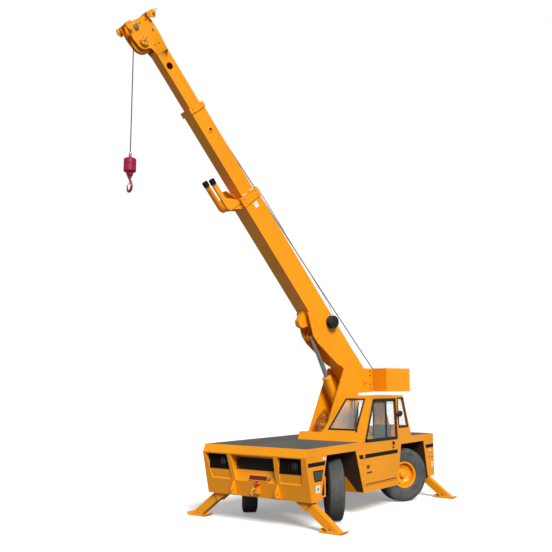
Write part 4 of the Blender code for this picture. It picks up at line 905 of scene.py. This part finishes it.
def inflate(obj, cap, pressure=4.0):
    # swells a pad with air pressure, holding each point to a cap
    start = [v.co.copy() for v in obj.data.vertices]
    cloth = obj.modifiers.new("cloth", "CLOTH")
    cloth.settings.use_pressure = True
    cloth.settings.uniform_pressure_force = pressure
    cloth.settings.quality = 5
    cloth.settings.effector_weights.gravity = 0.0
    for f in range(1, 13):
        bpy.context.scene.frame_set(f)
    graph = bpy.context.evaluated_depsgraph_get()
    shaped = [v.co.copy() for v in obj.evaluated_get(graph).to_mesh().vertices]
    obj.evaluated_get(graph).to_mesh_clear()
    obj.modifiers.remove(cloth)
    bpy.context.scene.frame_set(1)
    for vert, before, after in zip(obj.data.vertices, start, shaped):
        move = after - before
        vert.co = before + (move if move.length <= cap else move.normalized() * cap)


def makePad(name, low, high, lean, bulge, slots):
    # one upholstered pad: rounded, swollen, then its sewn channels pulled in
    bm = bmesh.new()
    low, high = Vector(low), Vector(high)
    bmesh.ops.create_cube(bm, size=1.0, matrix=Matrix.Translation((low + high) / 2) @ Matrix.Diagonal((*(high - low),
                                                                                                       1.0)))
    bmesh.ops.bevel(bm, geom=bm.edges[:], offset=0.025, affect="EDGES", segments=3, profile=0.5, material=-1)
    bmesh.ops.subdivide_edges(bm, edges=[e for e in bm.edges if e.calc_length() > 0.05], cuts=14, use_grid_fill=True)
    bmesh.ops.triangulate(bm, faces=bm.faces)
    mesh = bpy.data.meshes.new(name)
    bm.to_mesh(mesh)
    bm.free()
    obj = bpy.data.objects.new(name, mesh)
    bpy.context.scene.collection.objects.link(obj)
    remesh = obj.modifiers.new("remesh", "REMESH")
    remesh.mode = "VOXEL"
    remesh.voxel_size = 0.009
    graph = bpy.context.evaluated_depsgraph_get()
    fresh = bpy.data.meshes.new_from_object(obj.evaluated_get(graph))
    obj.modifiers.clear()
    obj.data = fresh
    inflate(obj, bulge)
    centre = (low + high) / 2
    for vert in obj.data.vertices:
        for axis, spot in slots:
            gap = abs(vert.co[axis] - spot)
            if gap < 0.016:
                vert.co -= (vert.co - centre).normalized() * 0.006 * (1 - gap / 0.016)
    obj.data.transform(carrierPlace @ Matrix.Translation(centre) @ lean @ Matrix.Translation(-centre))
    obj.data.shade_smooth()
    sub = obj.modifiers.new("smooth", "SUBSURF")
    sub.levels = sub.render_levels = 1
    settle(obj, "chassis", "vinyl")
    return obj


def makeSeat():
    y = seatLook["y"]
    back = Matrix.Rotation(math.radians(-4), 4, "Y")
    flat = Matrix.Identity(4)
    cushion = makePad("seatCushion", (-0.40, y - 0.165, 0.835), (0.035, y + 0.165, 0.905), flat, 0.014,
                      [(0, -0.11), (0, -0.24)])
    makePad("seatBack", (-0.53, y - 0.165, 0.93), (-0.43, y + 0.165, 1.405), back, 0.014, [(2, 1.08), (2, 1.25)])
    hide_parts("driver_seat")
    base = bmesh.new()
    addBox(base, (-0.40, y - 0.16, 0.79), (0.02, y + 0.16, 0.83))
    addBox(base, (-0.34, y - 0.12, 0.4515), (-0.06, y + 0.12, 0.60))
    addBox(base, (-0.30, y - 0.09, 0.60), (-0.10, y + 0.09, 0.79))
    for x in (-0.36, -0.03):
        addBox(base, (x - 0.02, y - 0.13, 0.4515), (x + 0.02, y + 0.13, 0.47))
    carrierPart("seatPedestal", base, "plastic", 0.004)
    frame = bmesh.new()
    for b in (y - 0.12, y + 0.12):
        addPath(frame, [(-0.45, b, 0.81), (-0.545, b, 0.88), (-0.55, b, 1.25)], 0.011, 10)
    carrierPart("seatBackFrame", frame, "dark")


def makeControls():
    y = seatLook["y"]
    levers, knobs = bmesh.new(), bmesh.new()
    for i in range(4):
        foot = Vector((0.36, y - 0.12 + i * 0.035, 1.198))
        top = foot + Vector((-0.05, 0, 0.13))
        addRod(levers, foot, top, 0.005, 8)
        bmesh.ops.create_uvsphere(knobs, u_segments=14, v_segments=10, radius=0.013, matrix=Matrix.Translation(top))
    carrierPart("controlLevers", levers, "steel")
    carrierPart("leverKnobs", knobs, "black", 0.0, 180.0)
    gauges, faces = bmesh.new(), bmesh.new()
    for i, r in ((0, 0.032), (1, 0.022), (2, 0.022)):
        centre = (0.4, y + 0.03 + i * 0.065, 1.2005)
        addTurned(gauges, [(r, 0.0), (r, 0.008), (r - 0.004, 0.01), (r - 0.006, 0.006), (r - 0.006, 0.0)], centre,
                  (0, 0, 1), 24)
        addTurned(faces, [(0.0, 0.003), (r - 0.006, 0.003), (r - 0.006, 0.0), (0.0, 0.0)], centre, (0, 0, 1), 24)
    carrierPart("gaugeRims", gauges, "steel")
    carrierPart("gaugeFaces", faces, "white")
    pedals = bmesh.new()
    for off, wide in ((-0.10, 0.05), (0.0, 0.08), (0.10, 0.05)):
        addBox(pedals, (0.225, y + off - wide / 2, 0.56), (0.24, y + off + wide / 2, 0.66))
        addRod(pedals, (0.24, y + off, 0.61), (0.298, y + off, 0.66), 0.008, 8)
    carrierPart("footPedals", pedals, "dark", 0.002)
    boxPart(carrierPart, "floorMat", (-0.46, y - 0.19, 0.4505), (0.28, y + 0.17, 0.4535), "gasket", 0.001)


makeSeat()
makeControls()
print("cab made")

turret = {"half": 0.228, "pivotA": -0.616, "pivotZ": 2.197, "drumA": -1.12, "drumZ": 2.22, "ropeR": 0.008}


def makeTurretFittings():
    bolts = bmesh.new()
    for x, y in roundSpots(32, 0.462):
        addBolt(bolts, (x, y, 1.2655), (0, 0, 1), 0.011)
    turretPart("slewRingBolts", bolts, "dark")
    teeth = bmesh.new()
    for i in range(72):
        turn = Matrix.Rotation(math.tau * i / 72, 4, "Z")
        low, high = Vector((0.452, -0.006, 1.178)), Vector((0.466, 0.006, 1.214))
        size = high - low
        bmesh.ops.create_cube(teeth, size=1.0,
                              matrix=turn @ Matrix.Translation((low + high) / 2) @ Matrix.Diagonal((*size, 1.0)))
    makePart("slewGearTeeth", teeth, turretPlace, "chassis", "dark")
    keepers, screws = bmesh.new(), bmesh.new()
    a, z = turret["pivotA"], turret["pivotZ"]
    for s in (-1, 1):
        face = s * turret["half"]
        tip = s * (turret["half"] + 0.02)
        addTurned(keepers, [(0.0, 0.004), (0.040, 0.004), (0.045, 0.0), (0.0, 0.0)], (a, tip, z), (0, s, 0), 28)
        addTurned(keepers, [(0.048, 0.0), (0.075, 0.0), (0.075, 0.008), (0.072, 0.011), (0.048, 0.011), (0.048, 0.0)],
                  (a, face, z), (0, s, 0), 32)
        lowY, highY = sorted((tip - s * 0.006, tip + s * 0.002))
        addBox(keepers, (a + 0.025, lowY, z - 0.09), (a + 0.045, highY, z - 0.03))
        for da, dz in roundSpots(6, 0.062):
            addBolt(screws, (a + da, s * (turret["half"] + 0.011), z + dz), (0, s, 0), 0.007)
        # flange bolts that hold the winch housing to the mast
        for dz in (2.05, 2.12, 2.28, 2.35):
            addBolt(screws, (-0.745, face, dz), (0, s, 0), 0.013)
    turretPart("pivotKeepers", keepers, "paint", 0.001)
    turretPart("mastBolts", screws, "dark")
    seams = bmesh.new()
    for s in (-1, 1):
        lowY, highY = sorted((s * turret["half"], s * (turret["half"] + 0.006)))
        addBox(seams, (-0.80, lowY, 1.99), (-0.77, highY, 2.405))
        addBox(seams, (-0.42, lowY, 1.27), (0.38, highY, 1.285))
    turretPart("mastWeldBars", seams, "paint", 0.002)
    boxPart(turretPart, "mastBlankLabel", (0.06, turret["half"], 1.52), (0.13, turret["half"] + 0.0015, 1.62),
            "white")
    gussets = bmesh.new()
    for s in (-1, 1):
        lowY, highY = sorted((s * (turret["half"] - 0.001), s * 0.40))
        outline = [(-0.38, lowY, 1.2657), (-0.38, highY, 1.2657), (-0.38, s * (turret["half"] - 0.001), 1.42)]
        addFlat(gussets, outline, (1, 0, 0), 0.014)
        addFlat(gussets, [(p[0] + 0.6, p[1], p[2]) for p in outline], (1, 0, 0), 0.014)
    turretPart("mastGussets", gussets, "paint", 0.002)


def makeValves():
    # control valve and hoses between the mast's plates
    block, spools, fittings = bmesh.new(), bmesh.new(), bmesh.new()
    for i in range(4):
        b = -0.105 + i * 0.07
        addBox(block, (0.13, b - 0.030, 1.33), (0.29, b + 0.030, 1.43))
        addRod(spools, (0.29, b, 1.38), (0.335, b, 1.38), 0.014, 14)
        for a in (0.17, 0.24):
            addRod(fittings, (a, b, 1.43), (a, b, 1.455), 0.011, 6)
            addRod(fittings, (a, b, 1.455), (a, b, 1.475), 0.008, 12)
    addBox(block, (0.10, -0.155, 1.30), (0.31, 0.155, 1.33))
    addBox(block, (0.10, -0.155, 1.2657), (0.12, 0.155, 1.30))
    addBox(block, (0.29, -0.155, 1.2657), (0.31, 0.155, 1.30))
    turretPart("valveBlock", block, "paint", 0.003)
    turretPart("valveSpools", spools, "steel", 0.001)
    turretPart("valveFittings", fittings, "brass", 0.0006)
    # the outer hoses loop back beside the lift cylinder, the inner ones forward under it
    for i in (0, 3):
        b = -0.105 + i * 0.07
        s = 1 if b > 0 else -1
        curvePiece("valveHose%d" % i, [(0.17, b, 1.47), (0.16, s * 0.125, 1.56), (0.05, s * 0.155, 1.66),
                                       (-0.03, s * 0.165, 1.56), (-0.06, s * 0.165, 1.36),
                                       (-0.06, s * 0.165, 1.2665)], 0.0085, turretPlace, "turret", "rustHose")
        curvePiece("slewHose%d" % i, [(0.24, b, 1.47), (0.24, s * 0.115, 1.52), (0.10, s * 0.135, 1.60),
                                      (-0.02, s * 0.135, 1.50), (-0.02, s * 0.135, 1.2665)], 0.0075, turretPlace,
                   "turret", "rustHose")
    for i in (1, 2):
        b = -0.105 + i * 0.07
        curvePiece("valveHose%d" % i, [(0.17, b, 1.47), (0.18, b, 1.492), (0.31, b, 1.53), (0.376, b, 1.44),
                                       (0.376, b, 1.2665)], 0.0085, turretPlace, "turret", "rustHose")
        curvePiece("slewHose%d" % i, [(0.24, b, 1.47), (0.255, b, 1.495), (0.31, b, 1.50), (0.354, b, 1.42),
                                      (0.354, b, 1.2665)], 0.0075, turretPlace, "turret", "rustHose")


def makeWinch():
    rope, bolts, motor = bmesh.new(), bmesh.new(), bmesh.new()
    a, z = turret["drumA"], turret["drumZ"]
    r = turret["ropeR"]
    # the layers of rope on the drum, one turn beside the next
    turns = 15
    for layer, radius in enumerate((0.109, 0.123)):
        for i in range(turns - layer):
            b = -0.125 + (i + layer * 0.5) * (0.25 / (turns - 1))
            addTurned(rope, wireRing(radius, b, r), (a, 0, z), (0, 1, 0), 32)
    turretPart("drumWindings", rope, "rope", 0.0, 180.0)
    addTurned(motor, [(0.0, 0.14), (0.045, 0.14), (0.058, 0.125), (0.058, 0.05), (0.09, 0.045), (0.09, 0.0),
                      (0.0, 0.0)], (a, 0.2155, z), (0, 1, 0), 28)
    turretPart("winchMotor", motor, "paint", 0.002)
    for s in (-1, 1):
        for da, dz in roundSpots(8, 0.075):
            addBolt(bolts, (a + da, s * (0.2155 if s < 0 else 0.26), z + dz), (0, s, 0), 0.008)
    turretPart("winchBolts", bolts, "dark")
    for i, b in enumerate((0.30, 0.34)):
        curvePiece("winchHose%d" % i, [(a + 0.02, b, z + 0.05), (a + 0.12, b + 0.02, z + 0.10),
                                       (a + 0.22, b, z - 0.02), (a + 0.25, b - 0.03, z - 0.185)], 0.009, turretPlace,
                   "turret", "hose")
    back = bmesh.new()
    for b in (-0.40, 0.40):
        addBox(back, (-1.431, b - 0.06, 2.30), (-1.427, b + 0.06, 2.34))
        addRod(back, (-1.427, b, 2.06), (-1.434, b, 2.06), 0.022, 20)
    turretPart("rearHousingFittings", back, "redLens", 0.001)


makeTurretFittings()
makeValves()
makeWinch()
print("turret made")

boom = {"baseHalf": 0.16, "midHalf": 0.1175, "tipHalf": 0.0875,
        "reelU": 1.30, "reelV": 0.05, "earU": 1.28, "earV": -0.36, "armU": 4.55, "armB": 0.10, "armV": -0.51}


def makeBoomFittings():
    pads, bolts = bmesh.new(), bmesh.new()
    # adjusting bolts of the slide pads round each section's mouth
    for u in (3.985, 4.055):
        for s in (-1, 1):
            for v in (-0.19, 0.11):
                addBolt(bolts, (u, s * 0.174, v), (0, s, 0), 0.014)
        for b in (-0.10, 0.10):
            addBolt(bolts, (u, b, 0.174), (0, 0, 1), 0.014)
    basePart("baseCollarBolts", bolts, "paint", 0.0008)
    rib = bmesh.new()
    for s in (-1, 1):
        low, high = sorted((s * 0.1602, s * 0.178))
        addBox(rib, (3.935, low, -0.258), (3.95, high, 0.175))
        addBox(rib, (4.085, low, -0.258), (4.0995, high, 0.175))
    basePart("baseCollarFlanges", rib, "paint", 0.002)
    for s in (-1, 1):
        low, high = sorted((s * 0.119, s * 0.1455))
        addBox(pads, (4.1003, low, -0.15), (4.108, high, -0.06))
        addBox(pads, (4.1003, low, 0.03), (4.108, high, 0.12))
    basePart("baseSlidePads", pads, "white", 0.001)
    midBolts = bmesh.new()
    for u in (5.695, 5.745):
        for s in (-1, 1):
            for v in (-0.115, 0.095):
                addBolt(midBolts, (u, s * 0.1355, v), (0, s, 0), 0.011)
        for b in (-0.07, 0.07):
            addBolt(midBolts, (u, b, 0.159), (0, 0, 1), 0.011)
    midPart("midCollarBolts", midBolts, "paint", 0.0008)
    boxPart(basePart, "baseBlankTag", (3.80, boom["baseHalf"], -0.06), (3.90, boom["baseHalf"] + 0.001, 0.03),
            "white")
    frame = bmesh.new()
    addTurned(frame, [(0.030, 0.0), (0.052, 0.0), (0.052, 0.005), (0.048, 0.007), (0.032, 0.007), (0.030, 0.004),
                      (0.030, 0.0)], (5.31, boom["midHalf"], 0), (0, 1, 0), 24)
    midPart("midPortRing", frame, "paint")
    port = bmesh.new()
    addTurned(port, [(0.0505, -0.008), (0.0505, 0.0), (0.058, 0.0), (0.058, 0.002), (0.0485, 0.002), (0.0485, -0.008),
                     (0.0505, -0.008)], (6.50, boom["tipHalf"], -0.02), (0, 1, 0), 32)
    tipPart("tipPortRing", port, "black")
    plug = bmesh.new()
    for u in (6.62, 6.30):
        addTurned(plug, [(0.0, 0.004), (0.008, 0.003), (0.010, 0.0), (0.0, 0.0)], (u, boom["tipHalf"], 0.06),
                  (0, 1, 0), 12)
    tipPart("tipPlugs", plug, "paint")
    ends = bmesh.new()
    for s in (-1, 1):
        addTurned(ends, [(0.0, 0.006), (0.03, 0.006), (0.0445, 0.0), (0.0, 0.0)],
                  (boom["armU"] + 0.09, s * boom["armB"], boom["armV"]), (1, 0, 0), 20)
        addTurned(ends, [(0.046, 0.0), (0.050, 0.002), (0.050, 0.088), (0.046, 0.09), (0.046, 0.0)],
                  (boom["armU"], s * boom["armB"], boom["armV"]), (1, 0, 0), 24)
    basePart("armEndRollers", ends, "black")
    gussets = bmesh.new()
    for s in (-1, 1):
        outline = [(3.92, -0.2565), (4.099, -0.2565), (4.17, -0.34), (4.26, -0.462), (4.05, -0.5)]
        addFlat(gussets, [(u, s * 0.10 - 0.006, v) for u, v in outline], (0, 1, 0), 0.012)
    web = [(4.082, -0.2565), (4.094, -0.2565), (4.235, -0.312), (4.345, -0.378), (4.338, -0.389), (4.228, -0.324)]
    addFlat(gussets, [(u, -0.119, v) for u, v in web], (0, 1, 0), 0.238)
    basePart("armGussets", gussets, "paint", 0.002)
    curvePiece("ropeGuideLoop", [(4.02, -0.05, 0.174), (4.02, -0.05, 0.34), (3.99, -0.05, 0.365),
                                 (3.10, -0.05, 0.375), (3.05, -0.05, 0.345), (3.05, -0.05, 0.161)], 0.004, boomPlace,
               "boom_base", "steel", False, False)
    ears = bmesh.new()
    for s in (-1, 1):
        addTurned(ears, [(0.0, 0.012), (0.028, 0.012), (0.034, 0.008), (0.034, 0.0), (0.0, 0.0)],
                  (boom["earU"], s * 0.15, boom["earV"]), (0, s, 0), 24)
    basePart("liftPinCaps", ears, "paint", 0.001)


def makeReel():
    # spring-wound reel for the load-warning cable, on the boom's left face
    u, v = boom["reelU"], boom["reelV"]
    drum, rim, wire, arm = bmesh.new(), bmesh.new(), bmesh.new(), bmesh.new()
    base = boom["baseHalf"]
    addTurned(drum, [(0.0, 0.122), (0.05, 0.122), (0.056, 0.116), (0.10, 0.112), (0.112, 0.104), (0.114, 0.092),
                     (0.106, 0.086), (0.092, 0.084)], (u, base, v), (0, 1, 0), 40)
    addTurned(drum, [(0.092, 0.030), (0.106, 0.028), (0.114, 0.022), (0.112, 0.012), (0.10, 0.008), (0.0, 0.008)],
              (u, base, v), (0, 1, 0), 40)
    addTurned(drum, [(0.0, 0.03), (0.07, 0.03), (0.07, 0.085), (0.0, 0.085)], (u, base, v), (0, 1, 0), 32)
    made = basePart("cableReel", drum, "plastic", 0.001)
    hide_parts("hose_reel")
    for k in range(4):
        addTurned(wire, wireRing(0.094, 0.036 + k * 0.0135, 0.006), (u, base, v), (0, 1, 0), 32)
    basePart("reelCableTurns", wire, "hose", 0.0, 180.0)
    for du, dv in roundSpots(6, 0.08):
        addBolt(rim, (u + du, base + 0.1125, v + dv), (0, 1, 0), 0.006)
    basePart("reelScrews", rim, "steel")
    addBox(arm, (u - 0.11, base, v - 0.03), (u + 0.11, base + 0.008, v + 0.03))
    addPath(arm, [(u + 0.02, base + 0.05, v + 0.10), (u + 0.05, base + 0.05, v + 0.19),
                  (u + 0.02, base + 0.05, v + 0.22)], 0.004, 8)
    basePart("reelBracket", arm, "steel", 0.001)
    # the thin cable from the reel out to the collar
    line = bmesh.new()
    addPath(line, [(u + 0.06, base + 0.055, v + 0.09), (u + 0.31, base + 0.03, v + 0.16), (4.0, 0.155, 0.186)],
            0.003, 6)
    basePart("reelCableBase", line, "hose")


hoist = {"rope": 0.008, "sheaveU": 7.015, "sheaveV": -0.214, "groove": 0.115, "blockR": 0.095,
         "idlerU": 7.10, "idlerV": 0.062, "idlerR": 0.051, "boss": 0.135, "cheek": 0.0915}


def makeHeadFittings():
    bolts, pins, guard = bmesh.new(), bmesh.new(), bmesh.new()
    u0, v0, out, cheek = hoist["sheaveU"], hoist["sheaveV"], hoist["boss"], hoist["cheek"]
    for s in (-1, 1):
        addTurned(pins, [(0.0, 0.008), (0.022, 0.008), (0.028, 0.0), (0.0, 0.0)], (u0, s * out, v0), (0, s, 0), 20)
        for du, dv in roundSpots(5, 0.052):
            addBolt(bolts, (u0 + du, s * out, v0 + dv), (0, s, 0), 0.008)
        for u, v in ((6.88, 0.03), (6.88, -0.06), (7.28, -0.10), (7.28, 0.03)):
            addBolt(bolts, (u, s * cheek, v), (0, s, 0), 0.010)
        addTurned(pins, [(0.0, 0.010), (0.018, 0.010), (0.024, 0.0), (0.0, 0.0)],
                  (hoist["idlerU"], s * cheek, hoist["idlerV"]), (0, s, 0), 16)
    tipPart("headPins", pins, "steel", 0.001)
    tipPart("headBolts", bolts, "dark")
    for u, v in ((7.19, -0.30), (6.98, -0.33), (7.19, 0.10)):
        addRod(guard, (u, -0.0905, v), (u, 0.0905, v), 0.009, 12)
    tipPart("ropeKeeperBars", guard, "steel", 0.001)
    clip = bmesh.new()
    for s in (1, -1):
        addPath(clip, [(7.315, s * 0.20, 0.19), (7.315, s * 0.235, 0.20), (7.33, s * 0.245, 0.23),
                       (7.35, s * 0.235, 0.215), (7.34, s * 0.205, 0.19)], 0.0035, 8)
    tipPart("headPinClips", clip, "steel")
    boxPart(tipPart, "blockLimitSwitch", (7.22, 0.093, -0.235), (7.30, 0.128, -0.165), "steel", 0.003)


makeBoomFittings()
makeReel()
makeHeadFittings()
print("boom made")

lift = {"barrelEnd": 0.985, "barrelR": 0.08, "rodR": 0.042}


def makeLiftFittings():
    gland, tubes, ports = bmesh.new(), bmesh.new(), bmesh.new()
    end, r = lift["barrelEnd"], lift["barrelR"]
    addTurned(gland, [(r - 0.002, -0.045), (r + 0.004, -0.045), (r + 0.004, 0.0), (r - 0.008, 0.012),
                      (lift["rodR"] + 0.0015, 0.012), (lift["rodR"] + 0.0015, 0.0005), (r - 0.002, 0.0005),
                      (r - 0.002, -0.045)], (end, 0, 0), (1, 0, 0), 36)
    barrelPart("liftGland", gland, "paint", 0.001)
    addPath(tubes, [(0.17, 0, r + 0.012), (0.82, 0, r + 0.012), (0.90, 0, r + 0.002)], 0.008, 10)
    for x in (0.30, 0.62):
        addTurned(tubes, [(r, -0.012), (r + 0.003, -0.012), (r + 0.003, 0.012), (r, 0.012), (r, -0.012)], (x, 0, 0),
                  (1, 0, 0), 32)
    barrelPart("liftTube", tubes, "paint")
    for x in (0.13, 0.90):
        addRod(ports, (x, 0, r - 0.003), (x, 0, r + 0.016), 0.015, 6)
    barrelPart("liftPorts", ports, "steel", 0.001)
    curvePiece("liftHose", [(0.13, 0.0, r + 0.010), (0.122, 0.0, r + 0.014), (0.106, 0.0, r + 0.008),
                            (0.098, 0.0, r - 0.006)], 0.009, liftPlace, "lift_barrel", "hose")


makeLiftFittings()

def arcPoints(centre, radius, start, end, steps):
    return [(centre[0] + radius * math.cos(math.radians(start + (end - start) * i / steps)), 0.0,
             centre[1] + radius * math.sin(math.radians(start + (end - start) * i / steps))) for i in range(steps + 1)]


def ropePiece(name, points, place, body, radius=None):
    bm = bmesh.new()
    addPath(bm, [Vector(p) for p in points], radius or hoist["rope"], 10)
    bmesh.ops.remove_doubles(bm, verts=bm.verts, dist=0.00001)
    return makePart(name, bm, place, body, "rope", 0.0, 180.0)


def makeRope():
    topPoint = (hoist["idlerU"], 0.0, hoist["idlerV"] + hoist["idlerR"] + hoist["rope"])
    start = (1.55, 0.0, 0.385)
    slope = (topPoint[2] - start[2]) / (topPoint[0] - start[0])

    def onLine(u):
        return (u, 0.0, start[2] + slope * (u - start[0]))

    def spanPiece(name, first, last, bodies):
        # a taut length between two bodies, made on the first and then baked in place with no body
        bm = bmesh.new()
        steps = 14
        for i in range(steps):
            addRod(bm, first.lerp(last, i / steps), first.lerp(last, (i + 1.02) / steps), hoist["rope"], 10)
        made = makePart(name, bm, Matrix.Identity(4), bodies[0], "rope", 0.0, 180.0)
        made.parent = None
        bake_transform(made)

    onBase, onMid = boomPlace @ Vector(onLine(1.25)), boomPlace @ Vector(onLine(5.60))
    onTip = boomPlace @ Vector(onLine(hoist["idlerU"] - 0.06))
    drum = turretPlace @ Vector((turret["drumA"] + 0.02, 0, turret["drumZ"] + 0.139))
    spanPiece("ropeFromDrum", drum, onBase, ("turret", "boom_base"))
    spanPiece("ropeOverBase", onBase, onMid, ("boom_base", "boom_mid"))
    spanPiece("ropeOverMid", onMid, onTip, ("boom_mid", "boom_tip"))
    wrap = arcPoints((hoist["idlerU"], hoist["idlerV"]), hoist["idlerR"] + hoist["rope"], 92, 0, 6)
    # the rope leaves the sheave where its groove is plumb, so the arc ends at the boom's own angle
    lean = math.degrees(math.asin(Vector(joints["boom_mid_extend"]["axis"]).z))
    around = arcPoints((hoist["sheaveU"], hoist["sheaveV"]), hoist["groove"] + hoist["rope"], 6, -lean, 10)
    ropePiece("ropeOverHead", [onLine(hoist["idlerU"] - 0.07)] + wrap + around[:1], boomPlace, "boom_tip", 0.0078)
    # this length round the sheave is baked in place with no body
    lay = ropePiece("ropeOnSheave", around, boomPlace, "boom_tip", 0.0078)
    lay.parent = None
    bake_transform(lay)


def makeBlock():
    low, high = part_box("hook_block")
    centre = (low + high) / 2
    z = high.z
    body, trims, bolts = bmesh.new(), bmesh.new(), bmesh.new()
    r = hoist["blockR"]
    addTurned(body, [(0.0, 0.0), (0.026, 0.0), (0.034, -0.012), (0.052, -0.022), (r - 0.012, -0.031), (r, -0.042),
                     (r, -0.118), (r - 0.006, -0.123), (r - 0.006, -0.129), (r, -0.134), (r, -0.228),
                     (r - 0.012, -0.240), (0.062, -0.246), (0.052, -0.262), (0.049, -0.296), (0.0, -0.2995)],
              (centre.x, centre.y, z), (0, 0, 1), 40)
    made = hoistPart("hookBlockBody", body, "red", 0.0, 30.0)
    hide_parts("hook_block")
    for x, y in roundSpots(6, 1.0):
        addBolt(bolts, (centre.x + 0.064 * x, centre.y + 0.064 * y, z - 0.0285), (0.2 * x, 0.2 * y, 1), 0.007)
    hoistPart("hookBlockBolts", bolts, "dark")
    addTurned(trims, [(0.0095, 0.0), (0.017, 0.0), (0.021, 0.03), (0.0175, 0.07), (0.012, 0.075), (0.0095, 0.07),
                      (0.0095, 0.0)], (centre.x, centre.y, z + 0.001), (0, 0, 1), 24)
    hoistPart("ropeSocket", trims, "steel")


def makeHookDetail():
    # a forged hook, round at the shank and deep through the bend, with its latch
    low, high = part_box("hook")
    x, y = joints["hook_swivel"]["pos_m"][:2]
    place = placeAt((x, y, 0), leftOfBoom.cross(up), leftOfBoom)
    bottom = low.z
    radius, thick = 0.07, 0.022
    centre = bottom + radius + thick
    points = [(0.0, high.z - 0.002, 0.021), (0.0, centre + 0.15, 0.019), (0.0, centre + 0.125, 0.022),
              (0.018, centre + 0.10, 0.020)]
    steps = 22
    for i in range(steps + 1):
        turn = math.radians(52 - 262 * i / steps)
        share = i / steps
        girth = 0.0175 + 0.006 * math.sin(math.pi * min(1.0, share * 1.25)) - 0.0085 * max(0.0, share - 0.72) / 0.28
        points.append((radius * math.cos(turn) + 0.004, centre + radius * math.sin(turn), girth))
    bm = bmesh.new()
    rings = []
    for i, (b, z, girth) in enumerate(points):
        before, after = points[max(i - 1, 0)], points[min(i + 1, len(points) - 1)]
        along = Vector((0, after[0] - before[0], after[1] - before[1])).normalized()
        side1 = Vector((1, 0, 0))
        side2 = along.cross(side1)
        ring = bmesh.ops.create_circle(bm, segments=18, radius=1.0)["verts"]
        spread = Matrix((side1 * girth * 0.85, side2 * girth, along)).transposed().to_4x4()
        bmesh.ops.transform(bm, matrix=Matrix.Translation((0, b, z)) @ spread, verts=ring)
        rings.append(ring)
    for first, second in zip(rings, rings[1:]):
        edges = [e for ring in (first, second) for v in ring for e in v.link_edges if e.other_vert(v) in ring]
        bmesh.ops.bridge_loops(bm, edges=list(set(edges)))
    bmesh.ops.holes_fill(bm, edges=[e for e in bm.edges if e.is_boundary], sides=0)
    made = makePart("forgedHook", bm, place, "hook", "red", 0.0, 50.0)
    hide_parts("hook")
    latch = bmesh.new()
    addPath(latch, [(0, 0.044, centre + 0.075), (0, -0.005, centre + 0.055), (0, -0.050, centre + 0.046)], 0.006, 8)
    addRod(latch, (-0.024, 0.044, centre + 0.075), (0.024, 0.044, centre + 0.075), 0.006, 10)
    makePart("hookLatch", latch, place, "hook", "steel")
    nut = bmesh.new()
    addRod(nut, (0, 0, high.z - 0.034), (0, 0, high.z - 0.006), 0.034, 6)
    makePart("hookNut", nut, place, "hook", "dark", 0.001)


makeRope()
makeBlock()
makeHookDetail()
print("hoist made")


leg = {"slope": 37.4, "y": 0.835, "z": 0.38, "places": (("front", 2.115), ("rear", -1.96))}


def makeOutriggerFittings():
    slope = math.radians(leg["slope"])
    for end, x in leg["places"]:
        for hand, s in (("left", 1), ("right", -1)):
            body = "outrigger_" + end + "_" + hand
            place = carrierPlace @ placeAt((x, s * leg["y"], leg["z"]), (0, s * math.cos(slope), -math.sin(slope)),
                                           (-s, 0, 0))
            pins, ribs = bmesh.new(), bmesh.new()
            for across in (-0.0605, 0.0605):
                out = 1 if across > 0 else -1
                addTurned(pins, [(0.0, 0.006), (0.014, 0.006), (0.018, 0.0), (0.0, 0.0)], (0.52, across, 0.0),
                          (0, out, 0), 16)
            makePart("legPins_" + end + "_" + hand, pins, place, body, "steel")
            for across in (-0.052, 0.052):
                low, high = sorted((across, across * 0.8))
                addBox(ribs, (0.10, low, 0.0645), (0.47, high, 0.0695))
            makePart("legWearStrips_" + end + "_" + hand, ribs, place, body, "paint", 0.001)


makeOutriggerFittings()
softenEdges(["deck_frame", "front_body", "rear_body", "cab_base", "right_tank", "front_cowl", "cab_shell",
             "cab_door"], 0.003)
softenEdges(["mast", "winch_housing", "boom_base", "boom_mid", "boom_tip"], 0.0025)
softenEdges(["outrigger_" + corner for corner in corners], 0.003)
print("all pieces made")
